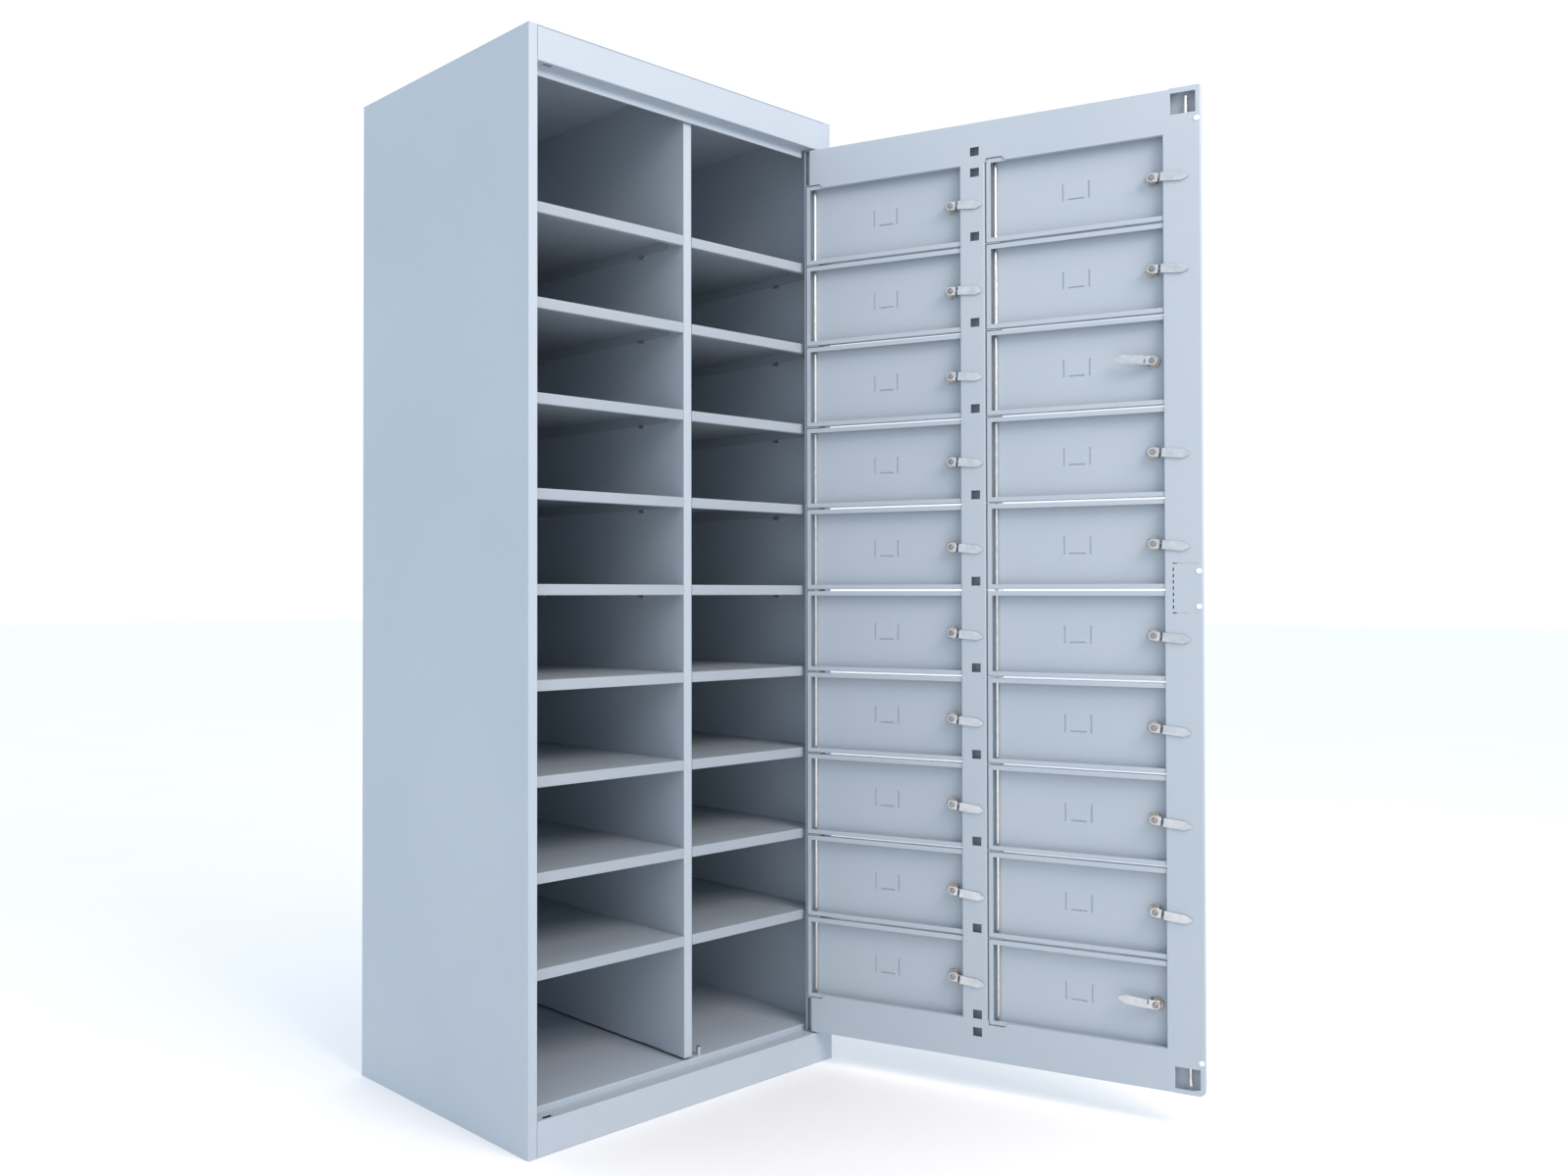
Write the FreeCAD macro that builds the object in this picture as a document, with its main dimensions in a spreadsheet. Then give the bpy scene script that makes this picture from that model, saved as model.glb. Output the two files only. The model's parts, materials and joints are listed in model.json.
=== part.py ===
import FreeCAD, Part
import os
import re

# Steel parcel locker: a cabinet with two columns of ten compartments, closed by one
# master door that carries a small lockable door for each compartment.
#
# Frame: origin on the ground under the middle of the cabinet, +X right, +Y back, +Z up.
# The master door is drawn shut and then turned open about its hinge rod.

DRIVING = [
    # alias, value in mm or degrees, what it is
    ("cabinetWidth", 800, "outside width"),
    ("cabinetDepth", 545, "outside depth"),
    ("cabinetHeight", 1950, "outside height"),
    ("gauge", 1.5, "sheet of the carcass and of the master door frame"),
    ("flangeWidth", 20, "front face of a side panel"),
    ("flangeDepth", 24, "depth of the boxed front flange and of the stop strips"),
    ("rearReturn", 15, "rear flange of a side panel"),
    ("stopWidth", 16, "stop strip beside the left flange and under the header"),
    ("headerHeight", 62, "front fascia above the door"),
    ("plinthHeight", 62, "kick plate under the door"),
    ("stopEnd", 45, "stop strip ends this far before the hinge flange"),
    ("setback", 30, "shelf fronts behind the cabinet front"),
    ("floorRise", 12, "floor above the plinth ledge"),
    ("bearerWidth", 60, "bearer under the floor"),
    ("dividerWidth", 21, "centre upright"),
    ("dividerShift", 11, "centre upright right of the middle"),
    ("dividerGap", 5, "gap under the front of the upright"),
    ("lipHeight", 20, "front lip and flanges of a shelf"),
    ("hemDepth", 10, "hem turned back under a shelf lip"),
    ("flangeStart", 40, "shelf side flanges start this far behind the lip"),
    ("shelfPlay", 0.5, "play beside and behind a shelf"),
    ("clipReach", 5, "shelf clip out from the wall"),
    ("clipLength", 14, "shelf clip along the wall"),
    ("clipHeight", 6, "shelf clip height"),
    ("clipInset", 70, "shelf clips in from the ends of the side flanges"),
    ("studRadius", 4.5, "stud on the floor edge"),
    ("studHeight", 16, "stud on the floor edge"),
    ("studShift", 36, "stud right of the upright's middle"),
    ("doorGap", 3, "gap round the master door"),
    ("doorThick", 21, "thickness of the master door"),
    ("edgeGap", 2.2, "hinge strip to compartment door"),
    ("stripDepth", 17, "hinge strip depth"),
    ("rodInset", 15, "rod axis from the hinge edge of a compartment door"),
    ("rodDepth", 6, "rod axis behind the door's outer face"),
    ("rodRadius", 3, "hinge rod"),
    ("rodPlay", 0.1, "radial play round a rod"),
    ("rodReach", 10, "hinge rod past the door, into the header and the plinth"),
    ("washerRadius", 7, "bearing washer under the door"),
    ("openAngle", 110, "master door against its stop, as the model stands"),
    ("rowPitch", 168, "one compartment row to the next"),
    ("rowGap", 4, "between compartment doors"),
    ("topMargin", 74, "top of the master door to the first compartment door"),
    ("leafWidth", 327, "compartment door width"),
    ("leafDepth", 18.5, "compartment door tray depth"),
    ("leafGauge", 1.2, "compartment door sheet"),
    ("leafLip", 9, "return lip of a compartment door"),
    ("columnPitch", 368.4, "first column's hinge edge to the second's"),
    ("stileStart", 329, "centre stile, from the hinge edge"),
    ("stileEnd", 366, "centre stile, from the hinge edge"),
    ("stopLip", 9.3, "stop lip behind the free edge of the compartment doors"),
    ("lockStart", 697, "lock stile, from the hinge edge"),
    ("railLip", 7.5, "rail cover behind a compartment door"),
    ("railEnd", 9, "rail box starts this far from the hinge edge"),
    ("webGap", 3.5, "compartment door to rail web"),
    ("notchLength", 30, "notch in the rail lip, so that the tray can swing in"),
    ("notchHeight", 8, "notch in the rail lip"),
    ("tabLength", 29, "rod tab"),
    ("tabThick", 2, "rod tab"),
    ("tabDepth", 16.5, "rod tab"),
    ("squareHole", 17, "square holes down the middle of the door"),
    ("squareShift", 347, "square holes, from the hinge edge"),
    ("windowWidth", 42, "corner windows of the lock stile"),
    ("windowHeight", 39, "corner windows of the lock stile"),
    ("windowInset", 8.5, "corner windows of the lock stile, from every edge"),
    ("knockWidth", 42, "knock-out outline at mid height"),
    ("knockHeight", 90, "knock-out outline at mid height"),
    ("slotWidth", 2, "slots of the knock-out outline"),
    ("boltInset", 25.6, "bolt rods from the free edge"),
    ("boltDepth", 10.5, "bolt rods behind the door's outer face"),
    ("boltRadius", 3.15, "bolt rods"),
    ("boltRetract", 12, "bolt rod ends inside the door's edge"),
    ("boltInner", 20, "inner ends of the bolt rods from the handle's axis"),
    ("boltSlot", 20, "bolt slot length in the header and the plinth"),
    ("boltSlotWidth", 9, "bolt slot width"),
    ("bufferRadius", 5, "buffers"),
    ("bufferHeight", 1.4, "buffers"),
    ("bufferInset", 6.5, "buffers from the free edge"),
    ("bufferEnd", 60, "outer buffers from the ends of the door"),
    ("bufferMid", 32, "inner buffers from mid height"),
    ("caseWidth", 36, "lock case"),
    ("caseHeight", 100, "lock case"),
    ("roseRadius", 20, "rose round the handle"),
    ("roseHeight", 3, "rose round the handle"),
    ("handleLength", 46, "T handle"),
    ("handleWidth", 12, "T handle"),
    ("handleStand", 14, "T handle in front of the door"),
    ("spindleRadius", 5, "handle spindle"),
    ("hubRadius", 15, "hub that drives the bolt rods"),
    ("lockInset", 28.5, "lock axis from the free edge of a compartment door"),
    ("lockRadius", 9.5, "lock housing"),
    ("lockFlange", 12, "lock housing flange outside"),
    ("lockLength", 16.5, "lock housing behind the door's outer face"),
    ("nutAcross", 13, "lock nut, corner radius"),
    ("nutHeight", 5, "lock nut"),
    ("plugRadius", 5.5, "lock plug"),
    ("plugPlay", 0.1, "radial play round the plug"),
    ("keyWidth", 1.6, "key slot"),
    ("camGauge", 2.4, "cam thickness"),
    ("camWidth", 16, "cam width"),
    ("camRoot", 16.8, "cam root behind the door's outer face"),
    ("camStep", 5.2, "crank of the cam"),
    ("camBend", 11, "crank starts this far from the lock axis"),
    ("camRamp", 5, "length of the crank"),
    ("camPoint", 51, "cam starts to taper"),
    ("camReach", 63, "cam tip"),
    ("camTip", 3, "width of the blunt tip"),
    ("camTilt", 6, "cams droop by this angle"),
    ("screwRadius", 5, "cam screw"),
    ("screwHeight", 4, "cam screw"),
    ("labelWidth", 50, "label lips"),
    ("labelHeight", 33, "label lips"),
    ("labelFoot", 29, "bottom label lip"),
    ("labelLip", 3, "label lip width"),
    ("labelStand", 1.8, "label lip in front of the door"),
]

ROWS = 10
TURNED_BACK = (13, 20)  # locks that stand unlocked

doc = FreeCAD.newDocument("ParcelLocker")
sheet = doc.addObject("Spreadsheet::Sheet", "Sizes")
for line, (alias, value, note) in enumerate(DRIVING, start=1):
    sheet.set(f"A{line}", note)
    sheet.set(f"B{line}", str(value))
    sheet.setAlias(f"B{line}", alias)
doc.recompute()

ALIASES = {alias for alias, value, note in DRIVING}
nodes = {}


def size(alias):
    """The number in the sheet under one alias."""
    return float(sheet.get(alias))


def bind(item, prop, formula):
    """Tie a property to a formula of sheet aliases."""
    def name_cell(match):
        word = match.group(0)
        return f"Sizes.{word}" if word in ALIASES else word
    item.setExpression(prop, re.sub(r"[A-Za-z]\w*", name_cell, str(formula)))


def box(name, x, y, z):
    """A block between a low and a high formula along each axis."""
    block = doc.addObject("Part::Box", name)
    for side, axis, (low, high) in zip(("Length", "Width", "Height"), "xyz", (x, y, z)):
        bind(block, side, f"({high}) - ({low})")
        bind(block, f"Placement.Base.{axis}", low)
    return block


TO_Y = FreeCAD.Rotation(FreeCAD.Vector(1, 0, 0), -90)  # turns a piece's +Z to +Y


def round_bar(name, start, length, radius, turn=None):
    """A cylinder from a start point, upright unless a turn is given."""
    bar = doc.addObject("Part::Cylinder", name)
    if turn:
        bar.Placement.Rotation = turn
    bind(bar, "Radius", radius)
    bind(bar, "Height", length)
    for axis, formula in zip("xyz", start):
        bind(bar, f"Placement.Base.{axis}", formula)
    return bar


def wedge(name, x, y, z, far_x, far_z):
    """A block along Y whose far end has its own X and Z limits."""
    taper = doc.addObject("Part::Wedge", name)
    limits = {"X": x, "Y": y, "Z": z, "X2": far_x, "Z2": far_z}
    for key, (low, high) in limits.items():
        bind(taper, f"{key}min", low)
        bind(taper, f"{key}max", high)
    return taper


def fuse(name, pieces):
    """One solid, or one tool, out of several pieces."""
    if len(pieces) == 1:
        return pieces[0]
    joined = doc.addObject("Part::MultiFuse", name)
    joined.Shapes = pieces
    joined.Refine = True
    return joined


def cut(name, base, tools):
    """A base with all tools taken out of it."""
    result = doc.addObject("Part::Cut", name)
    result.Base = base
    result.Tool = fuse(f"{name}_tools", tools)
    result.Refine = True
    return result


def group(name, pieces):
    """Separate solids that share one node."""
    bundle = doc.addObject("Part::Compound", name)
    bundle.Links = pieces
    return bundle


def node(name, item, placement=None):
    """Label a finished sub-part; a fuse, cut or group can also be put in another place."""
    item.Label = name
    if placement:
        item.Placement = placement.multiply(item.Placement)
    nodes[name] = item


# ------------------------------------------------------------------ carcass

left_x = "-cabinetWidth/2"
right_x = "cabinetWidth/2"
front_y = "-cabinetDepth/2"
rear_y = "cabinetDepth/2"
wall_top = "cabinetHeight - gauge"
header_z = "cabinetHeight - headerHeight"
floor_z = "plinthHeight + floorRise"
stop_y = (f"{front_y} + flangeDepth - gauge", f"{front_y} + flangeDepth")
shelf_y = f"{front_y} + setback"
back_y = f"{rear_y} - 2*gauge"

# x of a point on the shut door, from its distance to the hinge edge of the compartment doors
hinge_x = "cabinetWidth/2 - flangeWidth - doorGap - gauge - edgeGap"
door_low = "plinthHeight + doorGap"
door_high = "cabinetHeight - headerHeight - doorGap"
free_edge = "cabinetWidth - 2*flangeWidth - 2*doorGap - gauge - edgeGap"
bolt_u = f"{free_edge} - boltInset"


def across(distance):
    """X of a point on the shut door, a distance from the hinge edge."""
    return f"{hinge_x} - ({distance})"


def side_panel(name, side):
    """A wall with a boxed front flange and a rear return, on side -1 or +1."""
    def span(near, far):
        """X limits from two distances in from the outside of the cabinet."""
        if side < 0:
            return f"{left_x} + {near}", f"{left_x} + {far}"
        return f"{right_x} - ({far})", f"{right_x} - ({near})"
    tall = (0, wall_top)
    walls = [
        box(f"{name}_wall", span("0", "gauge"), (front_y, rear_y), tall),
        box(f"{name}_face", span("0", "flangeWidth"), (front_y, f"{front_y} + gauge"), tall),
        box(f"{name}_reveal", span("flangeWidth - gauge", "flangeWidth"), (front_y, stop_y[1]), tall),
        box(f"{name}_closing", span("0", "flangeWidth"), stop_y, tall),
        box(f"{name}_rear", span("0", "rearReturn"), (f"{rear_y} - gauge", rear_y), tall),
    ]
    if side < 0:
        stop = span("flangeWidth - gauge", "flangeWidth + stopWidth")
        walls.append(box(f"{name}_stop", stop, stop_y, (door_low, door_high)))
    node(name, fuse(f"{name}_body", walls))


def bolt_slot(name, low, high):
    """Tool for the round-ended slot that a bolt rod enters."""
    x, y = across(bolt_u), f"{front_y} + boltDepth"
    half = "(boltSlot - boltSlotWidth)/2"
    pieces = [box(f"{name}_mid", (f"{x} - {half}", f"{x} + {half}"),
                  (f"{y} - boltSlotWidth/2", f"{y} + boltSlotWidth/2"), (low, high))]
    for end, sign in (("left", "-"), ("right", "+")):
        start = (f"{x} {sign} {half}", y, low)
        pieces.append(round_bar(f"{name}_{end}", start, f"({high}) - ({low})", "boltSlotWidth/2"))
    return pieces


def rod_hole(name, column, low, high):
    """Tool for the hole round the hinge rod of column 0 or 1."""
    start = (across(f"rodInset + {column}*columnPitch"), f"{front_y} + rodDepth", low)
    return round_bar(name, start, f"({high}) - ({low})", "rodRadius + rodPlay")


def header_rail():
    """Fascia over the door, with its underside and the stop strip."""
    inner = (f"{left_x} + flangeWidth", f"{right_x} - flangeWidth")
    stop = (f"{left_x} + flangeWidth + stopWidth", f"{right_x} - flangeWidth - stopEnd")
    low_y = (front_y, stop_y[1])
    underside = (header_z, f"{header_z} + gauge")
    walls = [
        box("header_face", inner, (front_y, f"{front_y} + gauge"), (header_z, wall_top)),
        box("header_under", inner, low_y, underside),
        box("header_top", inner, low_y, (f"{wall_top} - gauge", wall_top)),
        box("header_stop", stop, stop_y, (f"{header_z} - stopWidth", f"{header_z} + gauge")),
        box("header_hem", stop, (stop_y[0], f"{stop_y[1]} + gauge"),
            (f"{header_z} - stopWidth", f"{header_z} - stopWidth + gauge")),
    ]
    tools = bolt_slot("header_slot", f"{header_z} - 1", f"{header_z} + gauge + 1")
    tools.append(rod_hole("header_rod", 0, f"{header_z} - 1", f"{header_z} + gauge + 1"))
    node("header_rail", cut("header", fuse("header_walls", walls), tools))


def plinth_rail():
    """Kick plate with the ledge that the door passes over."""
    inner = (f"{left_x} + flangeWidth", f"{right_x} - flangeWidth")
    walls = [
        box("plinth_face", inner, (front_y, f"{front_y} + gauge"), (0, "plinthHeight")),
        box("plinth_ledge", inner, (front_y, shelf_y), ("plinthHeight - gauge", "plinthHeight")),
        box("plinth_foot", inner, (front_y, f"{front_y} + flangeDepth"), (0, "gauge")),
    ]
    tools = bolt_slot("plinth_slot", "plinthHeight - gauge - 1", "plinthHeight + 1")
    tools.append(rod_hole("plinth_rod", 0, "plinthHeight - gauge - 1", "plinthHeight + 1"))
    node("plinth_rail", cut("plinth", fuse("plinth_walls", walls), tools))


def floor_panel():
    """Floor tray with its front step, on a bearer that reaches the ground."""
    wide = (f"{left_x} + gauge", f"{right_x} - gauge")
    sheet_z = (f"{floor_z} - gauge", floor_z)
    step_x = (f"{left_x} + flangeWidth", f"{right_x} - flangeWidth")
    pieces = [
        box("floor_sheet", wide, (shelf_y, back_y), sheet_z),
        box("floor_step", step_x, (shelf_y, f"{shelf_y} + gauge"), ("plinthHeight - gauge", floor_z)),
        box("floor_rear", wide, (f"{back_y} - gauge", back_y), ("plinthHeight - gauge", floor_z)),
        box("bearer_foot", wide, ("-bearerWidth/2", "bearerWidth/2"), (0, "gauge")),
    ]
    for side, low in (("front", "-bearerWidth/2"), ("back", "bearerWidth/2 - gauge")):
        pieces.append(box(f"bearer_{side}", wide, (low, f"{low} + gauge"), (0, floor_z)))
    node("floor_panel", fuse("floor_body", pieces))


def centre_divider():
    """Hollow upright, open at the back, on two feet."""
    middle = "dividerShift"
    low, high = f"{middle} - dividerWidth/2", f"{middle} + dividerWidth/2"
    tall = (f"{floor_z} + dividerGap", wall_top)
    deep = (shelf_y, back_y)
    walls = [
        box("divider_face", (low, high), (shelf_y, f"{shelf_y} + gauge"), tall),
        box("divider_left", (low, f"{low} + gauge"), deep, tall),
        box("divider_right", (f"{high} - gauge", high), deep, tall),
    ]
    for side, start in (("front", f"{shelf_y} + bearerWidth"), ("rear", f"{back_y} - 2*bearerWidth")):
        walls.append(box(f"divider_{side}_foot", (low, high), (start, f"{start} + bearerWidth"),
                         (floor_z, f"{floor_z} + dividerGap + gauge")))
    node("centre_divider", fuse("divider_body", walls))


# each column of shelves lies between these two walls
COLUMNS = {
    "left": (f"{left_x} + gauge", "dividerShift - dividerWidth/2"),
    "right": ("dividerShift + dividerWidth/2", f"{right_x} - gauge"),
}


def gap_z(row):
    """Height of the gap under one row of compartment doors, rows from 0."""
    return f"{door_high} - topMargin - {row + 1}*rowPitch + rowGap/2"


def shelf(name, column, row):
    """Pressed shelf: plate, front lip with its hem, side flanges and rear flange."""
    low, high = COLUMNS[column]
    low, high = f"{low} + shelfPlay", f"{high} - shelfPlay"
    top = f"{gap_z(row)} + lipHeight/2"
    end = f"{back_y} - shelfPlay"
    drop = (f"{top} - lipHeight", top)
    side_y = (f"{shelf_y} + flangeStart", end)
    return fuse(name, [
        box(f"{name}_plate", (low, high), (shelf_y, end), (f"{top} - gauge", top)),
        box(f"{name}_lip", (low, high), (shelf_y, f"{shelf_y} + gauge"), drop),
        box(f"{name}_hem", (low, high), (shelf_y, f"{shelf_y} + hemDepth"),
            (drop[0], f"{drop[0]} + gauge")),
        box(f"{name}_side_a", (low, f"{low} + gauge"), side_y, drop),
        box(f"{name}_side_b", (f"{high} - gauge", high), side_y, drop),
        box(f"{name}_rear", (low, high), (f"{end} - gauge", end), drop),
    ])


def shelf_clips(name, column, row):
    """Four clips under the side flanges of one shelf."""
    low, high = COLUMNS[column]
    top = f"{gap_z(row)} - lipHeight/2"
    walls = (low, f"{low} + clipReach"), (f"{high} - clipReach", high)
    starts = f"{shelf_y} + flangeStart + clipInset", f"{back_y} - clipInset - clipLength"
    clips = []
    for x in walls:
        for start in starts:
            clips.append(box(f"{name}_{len(clips)}", x, (start, f"{start} + clipLength"),
                             (f"{top} - clipHeight", top)))
    return clips


def interior():
    """All shelves in one node, and their clips and the floor stud in another."""
    shelves, fixings = [], []
    for column in COLUMNS:
        for row in range(ROWS - 1):
            shelves.append(shelf(f"shelf_{column}_{row}", column, row))
            fixings += shelf_clips(f"clip_{column}_{row}", column, row)
    stud = ("dividerShift + studShift", f"{shelf_y} + 2*studRadius", floor_z)
    fixings.append(round_bar("floor_stud", stud, "studHeight", "studRadius"))
    node("shelves", group("shelf_set", shelves))
    node("cabinet_fixings", group("fixing_set", fixings))


side_panel("side_panel_left", -1)
side_panel("side_panel_right", 1)
node("back_panel", box("back_sheet", (f"{left_x} + gauge", f"{right_x} - gauge"),
                       (back_y, f"{rear_y} - gauge"), (0, wall_top)))
node("roof_panel", box("roof_sheet", (left_x, right_x), (front_y, rear_y), (wall_top, "cabinetHeight")))
header_rail()
plinth_rail()
floor_panel()
centre_divider()
interior()


# -------------------------------------------------------------- master door

face_v = (0, "gauge")                          # outer sheet of the frame
core_v = ("gauge", "doorThick - gauge")        # webs between the sheets
back_v = ("doorThick - gauge", "doorThick")    # inner sheet of the frame
web_high = f"{door_high} - topMargin + webGap"
last_low = f"{door_high} - topMargin - {ROWS}*rowPitch + rowGap"
web_low = f"{last_low} - webGap"
lip_high = f"{door_high} - topMargin - railLip"
lip_low = f"{last_low} + railLip"
mid_z = f"({door_low} + {door_high})/2"

pivot = FreeCAD.Vector(
    size("cabinetWidth") / 2 - size("flangeWidth") - size("doorGap") - size("gauge")
    - size("edgeGap") - size("rodInset"),
    size("rodDepth") - size("cabinetDepth") / 2,
    0)


def open_door():
    """The turn about the hinge rod that opens the master door."""
    turn = FreeCAD.Rotation(FreeCAD.Vector(0, 0, 1), size("openAngle"))
    return FreeCAD.Placement(FreeCAD.Vector(), turn, pivot)


def leaf_box(name, u, v, z):
    """A block on the shut door: u from the hinge edge, v behind the outer face."""
    deep = (f"{front_y} + {v[0]}", f"{front_y} + {v[1]}")
    return box(name, (across(u[1]), across(u[0])), deep, z)


def tab_heights():
    """Heights of the rod tabs: over the first row, in each gap, under the last."""
    return [gap_z(row) for row in range(-1, ROWS)]


def rod_tabs(name, start):
    """Tabs that hold a hinge rod, from a distance u."""
    tabs = []
    for count, height in enumerate(tab_heights()):
        tabs.append(leaf_box(f"{name}_{count}", (start, f"{start} + tabLength"),
                             ("gauge", "gauge + tabDepth"),
                             (f"{height} - tabThick/2", f"{height} + tabThick/2")))
    return tabs


def hinge_stile():
    """Edge strip with the tabs of the first rod."""
    strip = leaf_box("hinge_strip", ("-edgeGap - gauge", "-edgeGap"), (0, "stripDepth"),
                     (door_low, door_high))
    walls = [strip] + rod_tabs("hinge_tab", "-edgeGap")
    tool = rod_hole("hinge_tab_hole", 0, door_low, door_high)
    node("hinge_stile", cut("hinge_edge", fuse("hinge_walls", walls), [tool]), open_door())


def square_hole(name, height):
    """Tool for one square hole through the inner sheet."""
    return leaf_box(name, ("squareShift - squareHole/2", "squareShift + squareHole/2"),
                    ("doorThick - 2*gauge", "doorThick + gauge"),
                    (f"{height} - squareHole/2", f"{height} + squareHole/2"))


def centre_stile():
    """Box section with a stop lip, the second rod's tabs and a row of square holes."""
    tall = (web_low, web_high)
    between = (lip_low, lip_high)
    walls = [
        leaf_box("centre_face", ("stileStart", "stileEnd"), face_v, tall),
        leaf_box("centre_web_a", ("stileStart", "stileStart + gauge"), core_v, tall),
        leaf_box("centre_web_b", ("stileEnd - gauge", "stileEnd"), core_v, tall),
        leaf_box("centre_back", ("stileStart - stopLip", "stileEnd"), back_v, between),
    ] + rod_tabs("centre_tab", "stileEnd")
    heights = [f"{door_high} - topMargin - 1.4*squareHole", f"{last_low} + squareHole"]
    heights += [f"{gap_z(row)} + squareHole" for row in range(ROWS - 1)]
    tools = [square_hole(f"centre_hole_{count}", height) for count, height in enumerate(heights)]
    tools.append(rod_hole("centre_tab_hole", 1, door_low, door_high))
    node("centre_stile", cut("centre_post", fuse("centre_walls", walls), tools), open_door())


def rail_notch(name, start, edge, up):
    """Tool for a chamfered notch in a rail lip, open towards the doors."""
    taper = wedge(name, (across(f"{start} + notchLength + notchHeight"), across(start)),
                  (0, "notchHeight"), (0, "4*gauge"),
                  (across(f"{start} + notchLength"), across(start)), (0, "4*gauge"))
    # the taper runs along the piece's Y, which is turned to point up or down
    turn = 90 if up else -90
    taper.Placement.Rotation = FreeCAD.Rotation(FreeCAD.Vector(1, 0, 0), turn)
    far = "doorThick + gauge" if up else "doorThick - 3*gauge"
    bind(taper, "Placement.Base.y", f"{front_y} + {far}")
    bind(taper, "Placement.Base.z", edge)
    return taper


def door_rail(name, outer, web, lip, up):
    """Box rail between an outer edge height and a web height, with its covering lip."""
    edge = (f"{outer} - gauge", outer) if up else (outer, f"{outer} + gauge")
    inner = (web, f"{web} + gauge") if up else (f"{web} - gauge", web)
    face = (web, outer) if up else (outer, web)
    cover = (lip, outer) if up else (outer, lip)
    square_z = f"{web} + squareHole - webGap" if up else f"{web} - squareHole + webGap"
    walls = [
        leaf_box(f"{name}_face", ("-edgeGap", "lockStart"), face_v, face),
        leaf_box(f"{name}_edge", ("railEnd", "lockStart"), core_v, edge),
        leaf_box(f"{name}_web", ("railEnd", "lockStart"), core_v, inner),
        leaf_box(f"{name}_end", ("railEnd", "railEnd + gauge"), core_v, face),
        leaf_box(f"{name}_back", ("railEnd", "lockStart"), back_v, cover),
    ]
    tools = [
        rail_notch(f"{name}_notch_a", "0", lip, up),
        rail_notch(f"{name}_notch_b", "columnPitch", lip, up),
        square_hole(f"{name}_square", square_z),
    ]
    return cut(name, fuse(f"{name}_walls", walls), tools)


def door_rails():
    """Top and bottom rails, each pierced by the rods."""
    rails = [
        door_rail("top_rail", door_high, web_high, lip_high, True),
        door_rail("bottom_rail", door_low, web_low, lip_low, False),
    ]
    pierced = []
    for rail, low, high in zip(rails, (web_high, door_low), (door_high, web_low)):
        holes = [rod_hole(f"{rail.Name}_rod", 0, f"{low} - 2", f"{high} + 2")]
        reach = "6*gauge"
        inner = (f"{web_high} - 2", f"{web_high} + {reach}")
        if rail is rails[1]:
            inner = (f"{web_low} - {reach}", f"{web_low} + 2")
        holes.append(rod_hole(f"{rail.Name}_short_rod", 1, *inner))
        pierced.append(cut(f"{rail.Name}_pierced", rail, holes))
    node("door_rails", group("rail_pair", pierced), open_door())


def lock_stile():
    """Full-height box section with windows, knock-out outline and bolt rod holes."""
    tall = (door_low, door_high)
    edge = (f"{free_edge} - gauge", free_edge)
    walls = [
        leaf_box("lock_face", ("lockStart", free_edge), face_v, tall),
        leaf_box("lock_edge", edge, core_v, tall),
        leaf_box("lock_web", ("lockStart", "lockStart + gauge"), core_v, (web_low, web_high)),
        leaf_box("lock_back", ("lockStart", free_edge), back_v, tall),
        leaf_box("lock_lip", ("lockStart - stopLip", "lockStart"), back_v, (lip_low, lip_high)),
    ]
    for name, z in (("top", (f"{door_high} - gauge", door_high)),
                    ("foot", (door_low, f"{door_low} + gauge"))):
        walls.append(leaf_box(f"lock_{name}", ("lockStart", free_edge), core_v, z))

    through = ("doorThick - 2*gauge", "doorThick + gauge")
    window = (f"{free_edge} - windowInset - windowWidth", f"{free_edge} - windowInset")
    top = f"{door_high} - windowInset"
    foot = f"{door_low} + windowInset"
    tools = [
        leaf_box("window_top", window, through, (f"{top} - windowHeight", top)),
        leaf_box("window_foot", window, through, (foot, f"{foot} + windowHeight")),
    ]
    knock = ("lockStart + 2*gauge", "lockStart + 2*gauge + knockWidth")
    for name, z in (("over", f"{mid_z} + knockHeight/2"), ("under", f"{mid_z} - knockHeight/2")):
        tools.append(leaf_box(f"knock_{name}", knock, through, (z, f"{z} + slotWidth")))
    dashes = 7
    for dash in range(dashes):
        low = f"{mid_z} - knockHeight/2 + {dash + 0.75}*knockHeight/{dashes + 0.9}"
        tools.append(leaf_box(f"knock_dash_{dash}", (knock[0], f"{knock[0]} + slotWidth"), through,
                              (low, f"{low} + 0.55*knockHeight/{dashes}")))
    bolt = (across(bolt_u), f"{front_y} + boltDepth", f"{door_low} - 1")
    tools.append(round_bar("bolt_holes", bolt, f"{door_high} - ({door_low}) + 2",
                           "boltRadius + rodPlay"))
    spindle = (across(bolt_u), f"{front_y} - 1", mid_z)
    tools.append(round_bar("spindle_hole", spindle, "2*gauge", "spindleRadius + rodPlay", TO_Y))
    node("lock_stile", cut("lock_post", fuse("lock_walls", walls), tools), open_door())


def hinge_rods():
    """The long rod is the master door's pivot too; the short one serves the second column."""
    y = f"{front_y} + rodDepth"
    long_low = f"{door_low} - rodReach"
    short_low = f"{web_low} - 3*gauge"
    long_rod = round_bar("long_rod", (across("rodInset"), y, long_low),
                         f"{door_high} + rodReach - ({long_low})", "rodRadius")
    short_rod = round_bar("short_rod", (across("rodInset + columnPitch"), y, short_low),
                          f"{web_high} + 3*gauge - ({short_low})", "rodRadius")
    washer_start = (across("rodInset"), y, "plinthHeight + 0.2")
    washer = round_bar("washer_disc", washer_start, "doorGap - 0.4", "washerRadius")
    bore = rod_hole("washer_bore", 0, "plinthHeight", door_low)
    node("hinge_rods", group("rod_set", [long_rod, short_rod, cut("washer", washer, [bore])]),
         open_door())


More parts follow.
